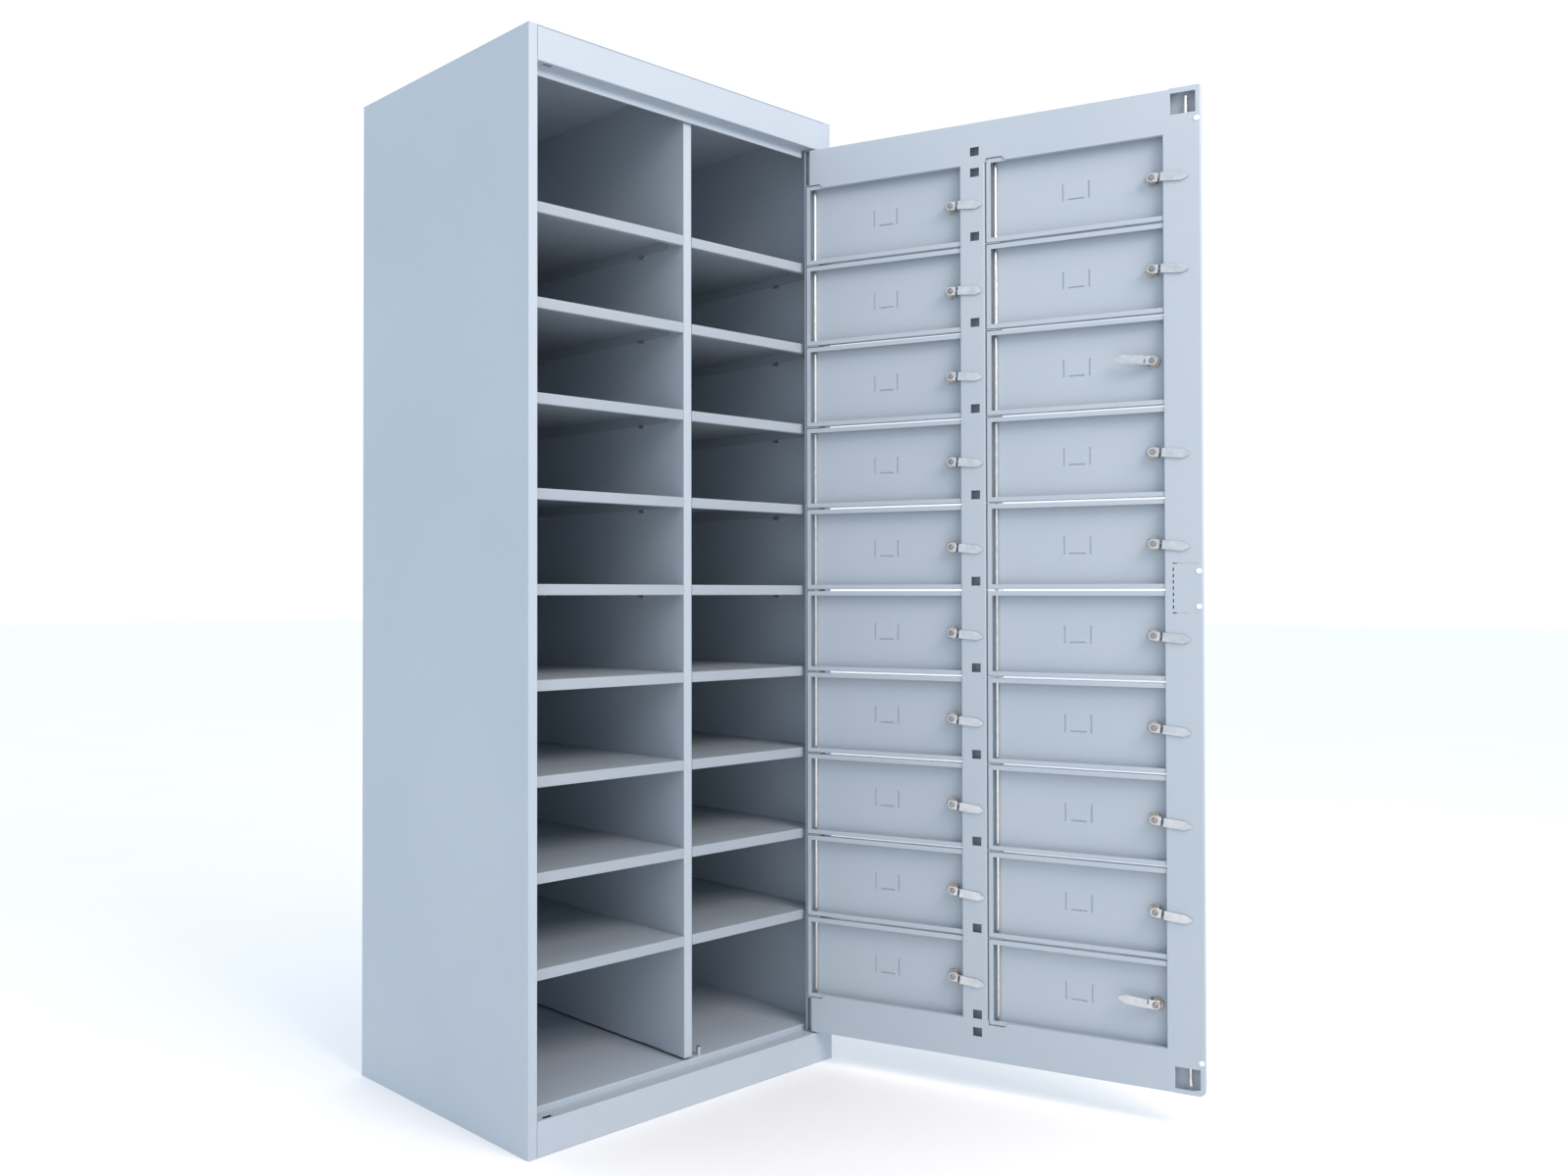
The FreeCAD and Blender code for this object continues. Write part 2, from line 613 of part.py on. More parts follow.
def door_buffers():
    """Round buffers on the inner face, near the free edge."""
    heights = [f"{door_high} - bufferEnd", f"{mid_z} + bufferMid",
               f"{mid_z} - bufferMid", f"{door_low} + bufferEnd"]
    y = f"{front_y} + doorThick"
    buffers = []
    for count, height in enumerate(heights):
        start = (across(f"{free_edge} - bufferInset"), y, height)
        buffers.append(round_bar(f"buffer_{count}", start, "bufferHeight", "bufferRadius", TO_Y))
    node("door_buffers", group("buffer_set", buffers), open_door())


def lock_case():
    """Hollow gear case inside the lock stile, and the rose outside."""
    half = ("caseWidth/2", "caseHeight/2")
    case_v = ("gauge + 0.5", "doorThick - gauge - 0.5")

    def shell(name, wall):
        """Block of the case, a wall's thickness in from the outside."""
        u = (f"{bolt_u} - {half[0]} + {wall}", f"{bolt_u} + {half[0]} - {wall}")
        v = (f"{case_v[0]} + {wall}", f"{case_v[1]} - {wall}")
        z = (f"{mid_z} - {half[1]} + {wall}", f"{mid_z} + {half[1]} - {wall}")
        return leaf_box(name, u, v, z)
    bore = (across(bolt_u), f"{front_y} + boltDepth", f"{mid_z} - caseHeight")
    entry = (across(bolt_u), f"{front_y} - 2*roseHeight", mid_z)
    spindle_bore = round_bar("case_spindle", entry, "2*roseHeight + 4*gauge",
                             "spindleRadius + rodPlay", TO_Y)
    tools = [
        shell("case_cavity", "gauge"),
        round_bar("case_bolts", bore, "2*caseHeight", "boltRadius + rodPlay"),
        spindle_bore,
    ]
    case = cut("gear_case", shell("case_outside", "0"), tools)
    rose_start = (across(bolt_u), f"{front_y} - roseHeight", mid_z)
    rose = round_bar("rose_disc", rose_start, "roseHeight", "roseRadius", TO_Y)
    rose_bore = round_bar("rose_bore", entry, "2*roseHeight + gauge", "spindleRadius + rodPlay", TO_Y)
    node("lock_case", group("case_and_rose", [case, cut("rose", rose, [rose_bore])]), open_door())


def lock_handle():
    """T handle outside, spindle through the rose, hub inside the case."""
    x = across(bolt_u)
    stand = "(roseHeight + handleStand)"
    bar = box("handle_bar", (f"{x} - handleWidth/2", f"{x} + handleWidth/2"),
              (f"{front_y} - {stand} - handleWidth", f"{front_y} - {stand}"),
              (f"{mid_z} - handleLength/2", f"{mid_z} + handleLength/2"))
    spindle = round_bar("handle_spindle", (x, f"{front_y} - {stand} - 1", mid_z),
                        f"{stand} + 1 + boltDepth", "spindleRadius", TO_Y)
    hub = round_bar("handle_hub", (x, f"{front_y} + 4*gauge", mid_z), "4*gauge", "hubRadius", TO_Y)
    node("lock_handle", fuse("handle_body", [bar, spindle, hub]), open_door())


def bolt_rods():
    """Two bolt rods, drawn back so that their ends lie inside the door's edges."""
    length = f"({door_high} - ({door_low}))/2 - boltRetract - boltInner"
    y = f"{front_y} + boltDepth"
    starts = {"upper_bolt_rod": f"{mid_z} + boltInner", "lower_bolt_rod": f"{door_low} + boltRetract"}
    for name, low in starts.items():
        rod = round_bar(f"{name}_bar", (across(bolt_u), y, low), length, "boltRadius")
        node(name, group(f"{name}_set", [rod]), open_door())


hinge_stile()
centre_stile()
door_rails()
lock_stile()
hinge_rods()
door_buffers()
lock_case()
lock_handle()
bolt_rods()


# ------------------------------------------------------- compartment doors

def row_low(row):
    """Bottom of a compartment door, rows from 0 at the top."""
    return f"{door_high} - topMargin - {row + 1}*rowPitch + rowGap"


def label_lips(name, near, low):
    """Slots and the lips in front of them that hold a label, as (slots, lips)."""
    middle = f"{near} + leafWidth/2"
    centre = f"{low} + (rowPitch - rowGap)/2"
    foot = f"{centre} - labelHeight/2"
    upright = (foot, f"{foot} + labelHeight")
    lines = {
        "a": ((f"{middle} - labelWidth/2", f"{middle} - labelWidth/2 + labelLip"), upright),
        "b": ((f"{middle} + labelWidth/2 - labelLip", f"{middle} + labelWidth/2"), upright),
        "c": ((f"{middle} - labelFoot/2", f"{middle} + labelFoot/2"), (foot, f"{foot} + labelLip")),
    }
    slots, lips = [], []
    for key, (u, z) in lines.items():
        slots.append(leaf_box(f"{name}_slot_{key}", u, ("-1", "leafGauge + 1"), z))
        # the lip stands proud and shares its outer edges with the sheet
        wide = (f"{u[0]} - leafGauge", f"{u[1]} + leafGauge")
        tall = (f"{z[0]} - leafGauge", f"{z[1]} + leafGauge")
        lips.append(leaf_box(f"{name}_lip_{key}", wide, ("-labelStand", "-labelStand + leafGauge"), tall))
        rim = (f"{u[0]} - leafGauge", u[0]) if key != "b" else (u[1], f"{u[1]} + leafGauge")
        rim_z = z if key != "c" else (f"{z[0]} - leafGauge", z[0])
        rim_u = rim if key != "c" else u
        lips.append(leaf_box(f"{name}_rim_{key}", rim_u, ("-labelStand", 0), rim_z))
    return slots, lips


def compartment_door(number, column, row):
    """Tray with return lips on all edges, label lips, lock housing and nut."""
    name = f"compartment_door_{number:02d}"
    near = f"{column}*columnPitch"
    u = (near, f"{near} + leafWidth")
    low = row_low(row)
    z = (low, f"{low} + rowPitch - rowGap")

    def inset(distance, v):
        """Block inside the tray, a distance in from every edge."""
        inside_u = (f"{u[0]} + {distance}", f"{u[1]} - {distance}")
        return leaf_box(f"{name}_inset", inside_u, v, (f"{z[0]} + {distance}", f"{z[1]} - {distance}"))

    lock_u = f"{u[1]} - lockInset"
    lock_z = f"{low} + (rowPitch - rowGap)/2"
    lock_x = across(lock_u)
    slots, lips = label_lips(name, near, low)
    housing_hole = round_bar(f"{name}_hole", (lock_x, f"{front_y} - 1", lock_z), "leafGauge + 2",
                             "lockRadius + plugPlay", TO_Y)
    tools = [
        inset("leafGauge", ("leafGauge", "leafDepth - leafGauge")),
        inset("leafLip", ("leafGauge", "leafDepth + 1")),
        rod_hole(f"{name}_rod", column, f"{z[0]} - 1", f"{z[1]} + 1"),
        housing_hole,
    ] + slots
    tray = cut(f"{name}_tray", leaf_box(f"{name}_block", u, (0, "leafDepth"), z), tools)
    sheet_body = fuse(f"{name}_sheet", [tray] + lips)

    collar = round_bar(f"{name}_flange", (lock_x, f"{front_y} - 2.5", lock_z), "2.5", "lockFlange", TO_Y)
    barrel = round_bar(f"{name}_barrel", (lock_x, f"{front_y} - 1", lock_z), "lockLength + 1",
                       "lockRadius", TO_Y)
    bore = round_bar(f"{name}_bore", (lock_x, f"{front_y} - 5", lock_z), "lockLength + 10",
                     "plugRadius + plugPlay", TO_Y)
    housing = cut(f"{name}_housing", fuse(f"{name}_housing_body", [collar, barrel]), [bore])

    prism = doc.addObject("Part::Prism", f"{name}_hexagon")
    prism.Polygon = 6
    prism.Placement.Rotation = TO_Y
    bind(prism, "Circumradius", "nutAcross")
    bind(prism, "Height", "nutHeight")
    for axis, formula in zip("xyz", (lock_x, f"{front_y} + leafGauge", lock_z)):
        bind(prism, f"Placement.Base.{axis}", formula)
    thread = round_bar(f"{name}_thread", (lock_x, front_y, lock_z), "2*nutHeight",
                       "lockRadius + plugPlay", TO_Y)
    nut = cut(f"{name}_nut", prism, [thread])
    node(name, group(f"{name}_set", [sheet_body, housing, nut]), open_door())


def lock_cam(number, column, row):
    """Plug, cranked cam and screw, drawn with the arm along Y and the lock axis along Z."""
    name = f"lock_cam_{number:02d}"
    half = "camWidth/2"
    width = (f"-{half}", half)
    root_z = ("camRoot", "camRoot + camGauge")
    arm_z = ("camRoot + camStep", "camRoot + camStep + camGauge")
    ramp_y = ("camBend", "camBend + camRamp")
    tip = ("-camTip/2", "camTip/2")
    origin = ("0", "0")
    plug = round_bar(f"{name}_plug", (*origin, "-2.4"), "camRoot + 2.4", "plugRadius")
    key_slot = box(f"{name}_key", ("-keyWidth/2", "keyWidth/2"), ("-0.6*plugRadius", "0.6*plugRadius"),
                   ("-3", "6"))
    pieces = [
        cut(f"{name}_keyed_plug", plug, [key_slot]),
        round_bar(f"{name}_eye", (*origin, root_z[0]), "camGauge", half),
        box(f"{name}_root", width, ("0", "camBend"), root_z),
        wedge(f"{name}_ramp", width, ramp_y, root_z, width, arm_z),
        box(f"{name}_arm", width, ("camBend + camRamp", "camPoint"), arm_z),
        wedge(f"{name}_point", width, ("camPoint", "camReach"), arm_z, tip, arm_z),
        round_bar(f"{name}_screw", (*origin, root_z[1]), "screwHeight", "screwRadius"),
    ]
    # the arm points to the free edge, drooping a little, or back when unlocked
    across_axis = FreeCAD.Vector(0, 1, 0)
    droop = -size("camTilt") if number not in TURNED_BACK else 180 - size("camTilt")
    arm = FreeCAD.Rotation(across_axis, droop).multVec(FreeCAD.Vector(-1, 0, 0))
    turn = FreeCAD.Rotation(arm.cross(across_axis), arm, across_axis, "ZXY")
    lock_x = pivot.x + size("rodInset") - column * size("columnPitch") - size("leafWidth") + size("lockInset")
    door_top = size("cabinetHeight") - size("headerHeight") - size("doorGap") - size("topMargin")
    lock_z = door_top - (row + 0.5) * size("rowPitch") + size("rowGap") / 2
    seat = FreeCAD.Placement(FreeCAD.Vector(lock_x, -size("cabinetDepth") / 2, lock_z), turn)
    node(name, fuse(f"{name}_body", pieces), open_door().multiply(seat))


for column in range(2):
    for row in range(ROWS):
        number = column * ROWS + row + 1
        compartment_door(number, column, row)
        lock_cam(number, column, row)


# -------------------------------------------------------------------- files

doc.recompute()

for item in doc.Objects:
    if "Invalid" in item.State or "Error" in item.State:
        raise RuntimeError(f"{item.Label} did not compute: {item.State}")
for name, item in nodes.items():
    if item.Shape.isNull() or not item.Shape.isValid():
        raise RuntimeError(f"{name} has no valid shape")

os.makedirs("parts", exist_ok=True)
for name, item in nodes.items():
    item.Shape.exportStep(f"parts/{name}.step")
    print(f"{name}: {len(item.Shape.Solids)} solids, {item.Shape.Volume / 1000:.1f} cm3")
print(f"{len(nodes)} nodes")
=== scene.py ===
import json
import math

import bpy
import numpy as np
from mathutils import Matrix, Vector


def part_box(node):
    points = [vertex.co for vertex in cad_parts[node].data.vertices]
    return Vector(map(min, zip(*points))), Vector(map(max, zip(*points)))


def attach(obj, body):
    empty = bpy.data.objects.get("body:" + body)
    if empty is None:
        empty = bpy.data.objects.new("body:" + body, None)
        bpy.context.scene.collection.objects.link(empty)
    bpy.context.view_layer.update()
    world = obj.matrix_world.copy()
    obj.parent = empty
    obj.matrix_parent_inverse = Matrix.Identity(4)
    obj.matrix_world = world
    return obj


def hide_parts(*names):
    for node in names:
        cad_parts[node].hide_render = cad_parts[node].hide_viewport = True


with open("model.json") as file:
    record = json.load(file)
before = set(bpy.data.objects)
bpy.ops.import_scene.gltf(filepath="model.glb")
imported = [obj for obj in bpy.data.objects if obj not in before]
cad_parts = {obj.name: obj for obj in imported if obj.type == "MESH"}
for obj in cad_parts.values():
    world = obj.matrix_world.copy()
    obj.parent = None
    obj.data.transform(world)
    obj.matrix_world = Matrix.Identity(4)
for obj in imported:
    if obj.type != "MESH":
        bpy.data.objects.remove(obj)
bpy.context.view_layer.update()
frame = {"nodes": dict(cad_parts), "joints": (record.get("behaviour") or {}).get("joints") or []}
print("frame loaded:", len(frame["nodes"]), "nodes")

mm = 0.001
tiny = 0.01 * mm

# placing: cabinet pieces in the frame itself, door pieces in u, v, z
# u runs from the hinge edge of the compartment doors to the free edge, v from the
# outer face inwards, both on the shut master door

hinge = {"rodInset": 15 * mm, "rodDepth": 6 * mm, "rodRadius": 3 * mm}

masterJoint = next(joint for joint in frame["joints"] if joint["name"] == "master_hinge")
pivot = np.array(masterJoint["pos_m"][:2])
openAngle = -math.radians(masterJoint["range_deg"][0])
cosOpen, sinOpen = math.cos(openAngle), math.sin(openAngle)


def doorToFrame(points):
    # pivot + turn by the open angle of (rodInset - u, v - rodDepth)
    a, b = hinge["rodInset"] - points[:, 0], points[:, 1] - hinge["rodDepth"]
    x = pivot[0] + cosOpen * a - sinOpen * b
    y = pivot[1] + sinOpen * a + cosOpen * b
    return np.column_stack([x, y, points[:, 2]])


def frameToDoor(points):
    # the same turn, backwards
    a, b = points[:, 0] - pivot[0], points[:, 1] - pivot[1]
    u = hinge["rodInset"] - (cosOpen * a + sinOpen * b)
    v = hinge["rodDepth"] - sinOpen * a + cosOpen * b
    return np.column_stack([u, v, points[:, 2]])


def corners(name):
    # low and high corner of a CAD node in the frame
    low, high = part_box(name)
    return np.array(low), np.array(high)


def doorCorners(name):
    # low and high corner of a CAD node in u, v, z
    mesh = frame["nodes"][name].data
    points = np.empty(len(mesh.vertices) * 3)
    mesh.vertices.foreach_get("co", points)
    points = frameToDoor(points.reshape(-1, 3))
    return points.min(axis=0), points.max(axis=0)


# mesh helpers

sheets = {"carcass": 1.5 * mm, "leaf": 1.2 * mm, "bendInside": 0.5 * mm, "bendSteps": 4, "rim": 0.25 * mm}


def fold(path, gauge, inside=None):
    # each corner of the path becomes an arc tangent to both runs; the sheet lies on the
    # path's left, so a left turn is the outside of a bend and gets a gauge more radius
    inside = sheets["bendInside"] if inside is None else inside
    path = np.array(path, float)
    out = [path[:1]]
    for before, corner, after in zip(path, path[1:], path[2:]):
        into = (corner - before) / np.linalg.norm(corner - before)
        away = (after - corner) / np.linalg.norm(after - corner)
        turn = math.atan2(into[0] * away[1] - into[1] * away[0], into @ away)
        if abs(turn) < 1e-4:
            out.append(corner[None])
            continue
        radius = inside + (gauge if turn > 0 else 0)
        start = corner - into * radius * math.tan(abs(turn) / 2)
        side = math.copysign(1, turn)
        centre = start + side * radius * np.array([-into[1], into[0]])
        angles = turn * np.linspace(0, 1, sheets["bendSteps"] + 1)
        arm = start - centre
        out.append(centre + np.column_stack([
            arm[0] * np.cos(angles) - arm[1] * np.sin(angles),
            arm[0] * np.sin(angles) + arm[1] * np.cos(angles)]))
    out.append(path[-1:])
    return np.concatenate(out)


def carry(section, stations, along):
    # point(i, j) = section point i at station j, along axis 0 (section in 1, 2) or 2 (section in 0, 1)
    grid = np.empty((len(section), len(stations), 3))
    first, second = ((along + 1) % 3, (along + 2) % 3)
    grid[..., first] = section[:, :1]
    grid[..., second] = section[:, 1:]
    grid[..., along] = np.asarray(stations)[None, :]
    return grid


def cells(grid, holes=(), closed=False, skip=None):
    # quads between neighbouring grid points; skipped cells, and those whose middle lies in
    # a hole's box, are left out
    rows, cols = grid.shape[:2]
    i, j = np.meshgrid(np.arange(rows - 1), np.arange(cols if closed else cols - 1), indexing="ij")
    i, j = i.ravel(), j.ravel()
    k = (j + 1) % cols
    quads = np.column_stack([i * cols + j, (i + 1) * cols + j, (i + 1) * cols + k, i * cols + k])
    middle = grid.reshape(-1, 3)[quads].mean(axis=1)
    keep = np.ones(len(quads), bool) if skip is None else ~skip.ravel()
    for low, high in holes:
        keep &= ~np.all((middle > np.array(low)) & (middle < np.array(high)), axis=1)
    return grid.reshape(-1, 3), quads[keep].tolist()


def lathe(profile, centre, axis, steps=40, outline=None):
    # point(h, a) = centre + axis*h + r*(cos a * e1 + sin a * e2), with r capped by an outline r(a);
    # the first and last rings are closed by flat ends
    axis = np.array(axis, float) / np.linalg.norm(axis)
    e1 = np.cross(axis, [0.31, 0.17, 0.93])
    e1 = e1 / np.linalg.norm(e1)
    e2 = np.cross(axis, e1)
    angle = np.linspace(0, 2 * np.pi, steps, endpoint=False)
    profile = np.array(profile, float)
    radius = np.repeat(profile[:, :1], steps, axis=1)
    if outline is not None:
        radius = np.minimum(radius, outline(angle)[None, :])
    spoke = np.cos(angle)[:, None] * e1 + np.sin(angle)[:, None] * e2
    grid = np.array(centre) + profile[:, 1][:, None, None] * axis + radius[..., None] * spoke
    points, quads = cells(grid[::-1], closed=True)
    last = len(points) - steps
    caps = [list(range(steps)), list(range(last, last + steps))[::-1]]
    return points, quads + caps


def hexagon(corner):
    # r(a) = apothem / cos(a folded into 30 degrees each side of a flat)
    def outline(angle):
        # a flat every 60 degrees
        return corner * math.cos(math.pi / 6) / np.cos((angle + np.pi / 6) % (np.pi / 3) - np.pi / 6)
    return outline


def rounded(radius, low, high, fillet, steps=4):
    # profile of a disc or bar from low to high with a quarter-circle fillet at both ends
    turn = np.linspace(0, np.pi / 2, steps)
    start = np.column_stack([radius - fillet + fillet * np.sin(turn), low + fillet - fillet * np.cos(turn)])
    end = np.column_stack([radius - fillet + fillet * np.cos(turn), high - fillet + fillet * np.sin(turn)])
    return np.concatenate([start, end])


def build(name, parts, body, material, node=None, gauge=0, door=False, rim=None, sharp=30):
    # one piece from its parts; a gauge gives the sheet its wall, inwards from the outer surface
    points, faces, offset = [], [], 0
    for partPoints, partFaces in parts:
        points.append(partPoints)
        faces += [[index + offset for index in face] for face in partFaces]
        offset += len(partPoints)
    points = np.concatenate(points)
    if door:  # u, v, z is left-handed in the frame, so the faces are turned round
        points = doorToFrame(points)
        faces = [face[::-1] for face in faces]
    sizes = [len(face) for face in faces]
    used, flat = np.unique(np.concatenate(faces), return_inverse=True)  # drops points of left-out cells
    faces = [face.tolist() for face in np.split(flat, np.cumsum(sizes)[:-1])]
    mesh = bpy.data.meshes.new(name)
    mesh.from_pydata(points[used].tolist(), [], faces)
    mesh.shade_smooth()
    piece = bpy.data.objects.new(name, mesh)
    bpy.context.scene.collection.objects.link(piece)
    piece.data.materials.append(material)
    if gauge:
        wall = piece.modifiers.new("wall", "SOLIDIFY")
        wall.thickness = gauge
        wall.offset = -1
        edge = piece.modifiers.new("rim", "BEVEL")
        edge.width = sheets["rim"] if rim is None else rim
        edge.segments = 2
        edge.limit_method = "ANGLE"
        edge.angle_limit = math.radians(40)
        piece.modifiers.new("shading", "WEIGHTED_NORMAL")
    else:
        mesh.set_sharp_from_angle(angle=math.radians(sharp))
    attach(piece, body)
    if node:
        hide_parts(node)
    return piece


# finishes


class Finish:
    # a small wrapper: add() makes a shader node and sets or links its inputs by name
    def __init__(self, name):
        # an empty material with its shader and the object coordinates
        self.material = bpy.data.materials.new(name)
        self.material.use_nodes = True
        self.tree = self.material.node_tree
        self.shader = self.tree.nodes["Principled BSDF"]
        self.place = self.add("ShaderNodeTexCoord").outputs["Object"]

    def add(self, kind, settings=None, **inputs):
        # a node with its settings; _0, _1 are inputs by number
        made = self.tree.nodes.new(kind)
        for key, value in (settings or {}).items():
            setattr(made, key, value)
        for key, value in inputs.items():
            self.put(made, key, value)
        return made

    def put(self, made, key, value):
        # links a socket or sets a number
        socket = made.inputs[int(key[1:])] if key[0] == "_" else made.inputs[key]
        if isinstance(value, bpy.types.NodeSocket):
            self.tree.links.new(value, socket)
        else:
            socket.default_value = value

    def noise(self, scale, detail=3.0, roughness=0.5, stretch=None):
        # fractal noise over the object, stretched along its axes for grain
        place = self.place
        if stretch:
            place = self.add("ShaderNodeMapping", Vector=place, Scale=stretch).outputs[0]
        return self.add("ShaderNodeTexNoise", Vector=place, Scale=scale, Detail=detail,
                        Roughness=roughness).outputs["Fac"]

    def spread(self, value, low, high, outLow, outHigh):
        # outLow + (value - low) / (high - low) * (outHigh - outLow)
        return self.add("ShaderNodeMapRange", _0=value, _1=low, _2=high, _3=outLow, _4=outHigh).outputs[0]

    def mix(self, share, first, second):
        # first + share * (second - first), as colours
        made = self.add("ShaderNodeMix", {"data_type": "RGBA"})
        for index, value in ((0, share), (6, first), (7, second)):
            self.put(made, f"_{index}", value)
        return made.outputs[2]

    def edges(self, radius):
        # 0 on flat metal, rising to 1 where the rounded normal leaves the true one
        soft = self.add("ShaderNodeBevel", {"samples": 4}, Radius=radius).outputs[0]
        true = self.add("ShaderNodeNewGeometry").outputs["Normal"]
        dot = self.add("ShaderNodeVectorMath", {"operation": "DOT_PRODUCT"}, _0=soft, _1=true)
        return self.spread(dot.outputs["Value"], 0.995, 0.8, 0.0, 1.0)

    def bump(self, heights, strength=1.0):
        # heights one on another, each with its distance in metres
        normal = None
        for height, distance in heights:
            made = self.add("ShaderNodeBump", Strength=strength, Distance=distance, Height=height)
            if normal is not None:
                self.put(made, "Normal", normal)
            normal = made.outputs[0]
        self.put(self.shader, "Normal", normal)


def powderCoat(name, colour, lighter, darker):
    # satin powder coat: slow tint drift, fine orange peel, thin pale paint along the edges
    coat = Finish(name)
    drift = coat.spread(coat.noise(2.2, 2.0), 0.35, 0.65, 0.0, 1.0)
    tint = coat.mix(drift, darker, colour)
    fine = coat.spread(coat.noise(900.0, 2.0), 0.4, 0.6, 0.0, 0.10)
    tint = coat.mix(fine, tint, lighter)
    worn = coat.add("ShaderNodeMath", {"operation": "MULTIPLY"}, _0=coat.edges(0.0012),
                    _1=coat.spread(coat.noise(60.0, 4.0), 0.42, 0.68, 0.1, 0.55)).outputs[0]
    coat.put(coat.shader, "Base Color", coat.mix(worn, tint, lighter))
    coat.put(coat.shader, "Roughness", coat.spread(coat.noise(14.0, 3.0), 0.3, 0.7, 0.36, 0.5))
    coat.shader.inputs["Specular IOR Level"].default_value = 0.45
    coat.bump([(coat.noise(620.0, 2.0, 0.6), 0.00006), (coat.noise(5.0, 2.0), 0.0006)], 0.35)
    return coat.material


def platedMetal(name, colour, tone, roughness, grain, stretch=None, scratches=0.3):
    # plated steel: cloudy tone, fine directional grain in roughness and height, brighter edges
    metal = Finish(name)
    cloud = metal.spread(metal.noise(70.0, 3.0), 0.35, 0.65, 0.0, 1.0)
    edge = metal.edges(0.0008)
    bright = tuple(min(1.0, channel * 1.12) for channel in colour[:3]) + (1.0,)
    metal.put(metal.shader, "Base Color", metal.mix(edge, metal.mix(cloud, colour, tone), bright))
    metal.shader.inputs["Metallic"].default_value = 1.0
    lines = metal.noise(grain, 4.0, 0.6, stretch)
    metal.put(metal.shader, "Roughness", metal.spread(lines, 0.3, 0.7, roughness * 0.75, roughness * 1.35))
    metal.bump([(lines, 0.00002 * (1 + scratches)), (metal.noise(300.0, 2.0), 0.00002)], 0.4)
    return metal.material


def mouldedPlastic(name, colour, shade):
    # matt moulded plastic with a fine spark texture and faint handling marks
    plastic = Finish(name)
    marks = plastic.spread(plastic.noise(90.0, 4.0), 0.45, 0.7, 0.0, 1.0)
    plastic.put(plastic.shader, "Base Color", plastic.mix(marks, colour, shade))
    plastic.put(plastic.shader, "Roughness", plastic.spread(marks, 0.0, 1.0, 0.38, 0.55))
    plastic.shader.inputs["Subsurface Weight"].default_value = 0.05
    plastic.bump([(plastic.noise(1500.0, 2.0), 0.00004)], 0.4)
    return plastic.material


# paint tones; the inside tones are a darker copy of the carcass paint, painted shade for the inside of the
# cabinet
paintTones = {
    "colour": (0.405, 0.470, 0.535, 1), "darker": (0.385, 0.450, 0.520, 1),
    "shadedInsideColour": (0.325, 0.378, 0.428, 1), "shadedInsideDarker": (0.305, 0.358, 0.410, 1),
    "lighter": (0.54, 0.60, 0.66, 1),
}
carcassPaint, doorPaint, leafPaint = (
    powderCoat(name, paintTones["colour"], paintTones["lighter"], paintTones["darker"])
    for name in ("carcassPaint", "doorPaint", "leafPaint"))
# the shelves get the same powder coat made darker: painted shade inside the cabinet
shadedShelfPaint = powderCoat("shadedShelfPaint", paintTones["shadedInsideColour"], paintTones["lighter"],
                        paintTones["shadedInsideDarker"])
camPlate = platedMetal("camPlate", (0.62, 0.64, 0.66, 1), (0.52, 0.55, 0.58, 1), 0.20, 420.0, (1, 1, 6))
lockNickel = platedMetal("lockNickel", (0.50, 0.45, 0.40, 1), (0.40, 0.36, 0.32, 1), 0.24, 900.0)
screwSteel = platedMetal("screwSteel", (0.36, 0.33, 0.32, 1), (0.27, 0.25, 0.25, 1), 0.34, 1200.0)
rodSteel = platedMetal("rodSteel", (0.82, 0.80, 0.76, 1), (0.70, 0.68, 0.64, 1), 0.22, 260.0,
                       (12, 12, 0.3))
clipZinc = platedMetal("clipZinc", (0.66, 0.68, 0.70, 1), (0.55, 0.57, 0.60, 1), 0.38, 500.0)
handleChrome = platedMetal("handleChrome", (0.62, 0.63, 0.65, 1), (0.54, 0.55, 0.57, 1), 0.27, 700.0,
                           (1, 1, 4))
bufferWhite = mouldedPlastic("bufferWhite", (0.82, 0.86, 0.90, 1), (0.72, 0.76, 0.80, 1))
print("finishes made")

# carcass

carcass = {"gauge": sheets["carcass"], "flange": 20 * mm, "flangeDepth": 24 * mm, "rearReturn": 15 * mm,
           "stopEnd": 45 * mm, "stopDrop": 16 * mm, "setback": 30 * mm, "hem": 3 * mm}

panelLow, panelHigh = corners("side_panel_left")
rightHigh = corners("side_panel_right")[1]
headerLow, headerHigh = corners("header_rail")
plinthLow, plinthHigh = corners("plinth_rail")
floorLow, floorHigh = corners("floor_panel")
dividerLow, dividerHigh = corners("centre_divider")
stileLow, stileHigh = doorCorners("lock_stile")
frontY, rearY = panelLow[1], panelHigh[1]
stopY = frontY + carcass["flangeDepth"]
shelfY = frontY + carcass["setback"]
headerZ = headerLow[2] + carcass["stopDrop"]
wallTop = panelHigh[2]
everywhere = 9.0


def sidePanels():
    # a section in plan (rear return, wall, front face, reveal, stop strip or closing) carried upright
    g = carcass["gauge"]
    heights = [panelLow[2], stileLow[2], stileHigh[2], wallTop]
    x = panelLow[0]
    left = fold([(x + carcass["rearReturn"], rearY), (x, rearY), (x, frontY),
                 (x + carcass["flange"], frontY), (x + carcass["flange"], stopY - g),
                 (panelHigh[0], stopY - g)], g)
    strip = x + carcass["flange"] + 0.3 * mm
    holes = [((strip, -everywhere, low), (everywhere, stopY, high))
             for low, high in zip(heights[::2], heights[1::2])]
    closing = np.array([(x + carcass["flange"] - g, stopY), (x + g, stopY)])
    build("sidePanelLeft", [cells(carry(left, heights, 2), holes), cells(carry(closing, [0, wallTop], 2))],
          "cabinet", carcassPaint, "side_panel_left", g)
    x = rightHigh[0]
    right = fold([(x - 2 * g, stopY), (x - carcass["flange"], stopY), (x - carcass["flange"], frontY),
                  (x, frontY), (x, rearY), (x - carcass["rearReturn"], rearY)], g)
    build("sidePanelRight", [cells(carry(right, heights, 2))], "cabinet", carcassPaint,
          "side_panel_right", g)


bolt = {"u": stileHigh[0] - 25.6 * mm, "v": 10.5 * mm, "radius": 3.15 * mm, "slot": (10 * mm, 4.5 * mm)}


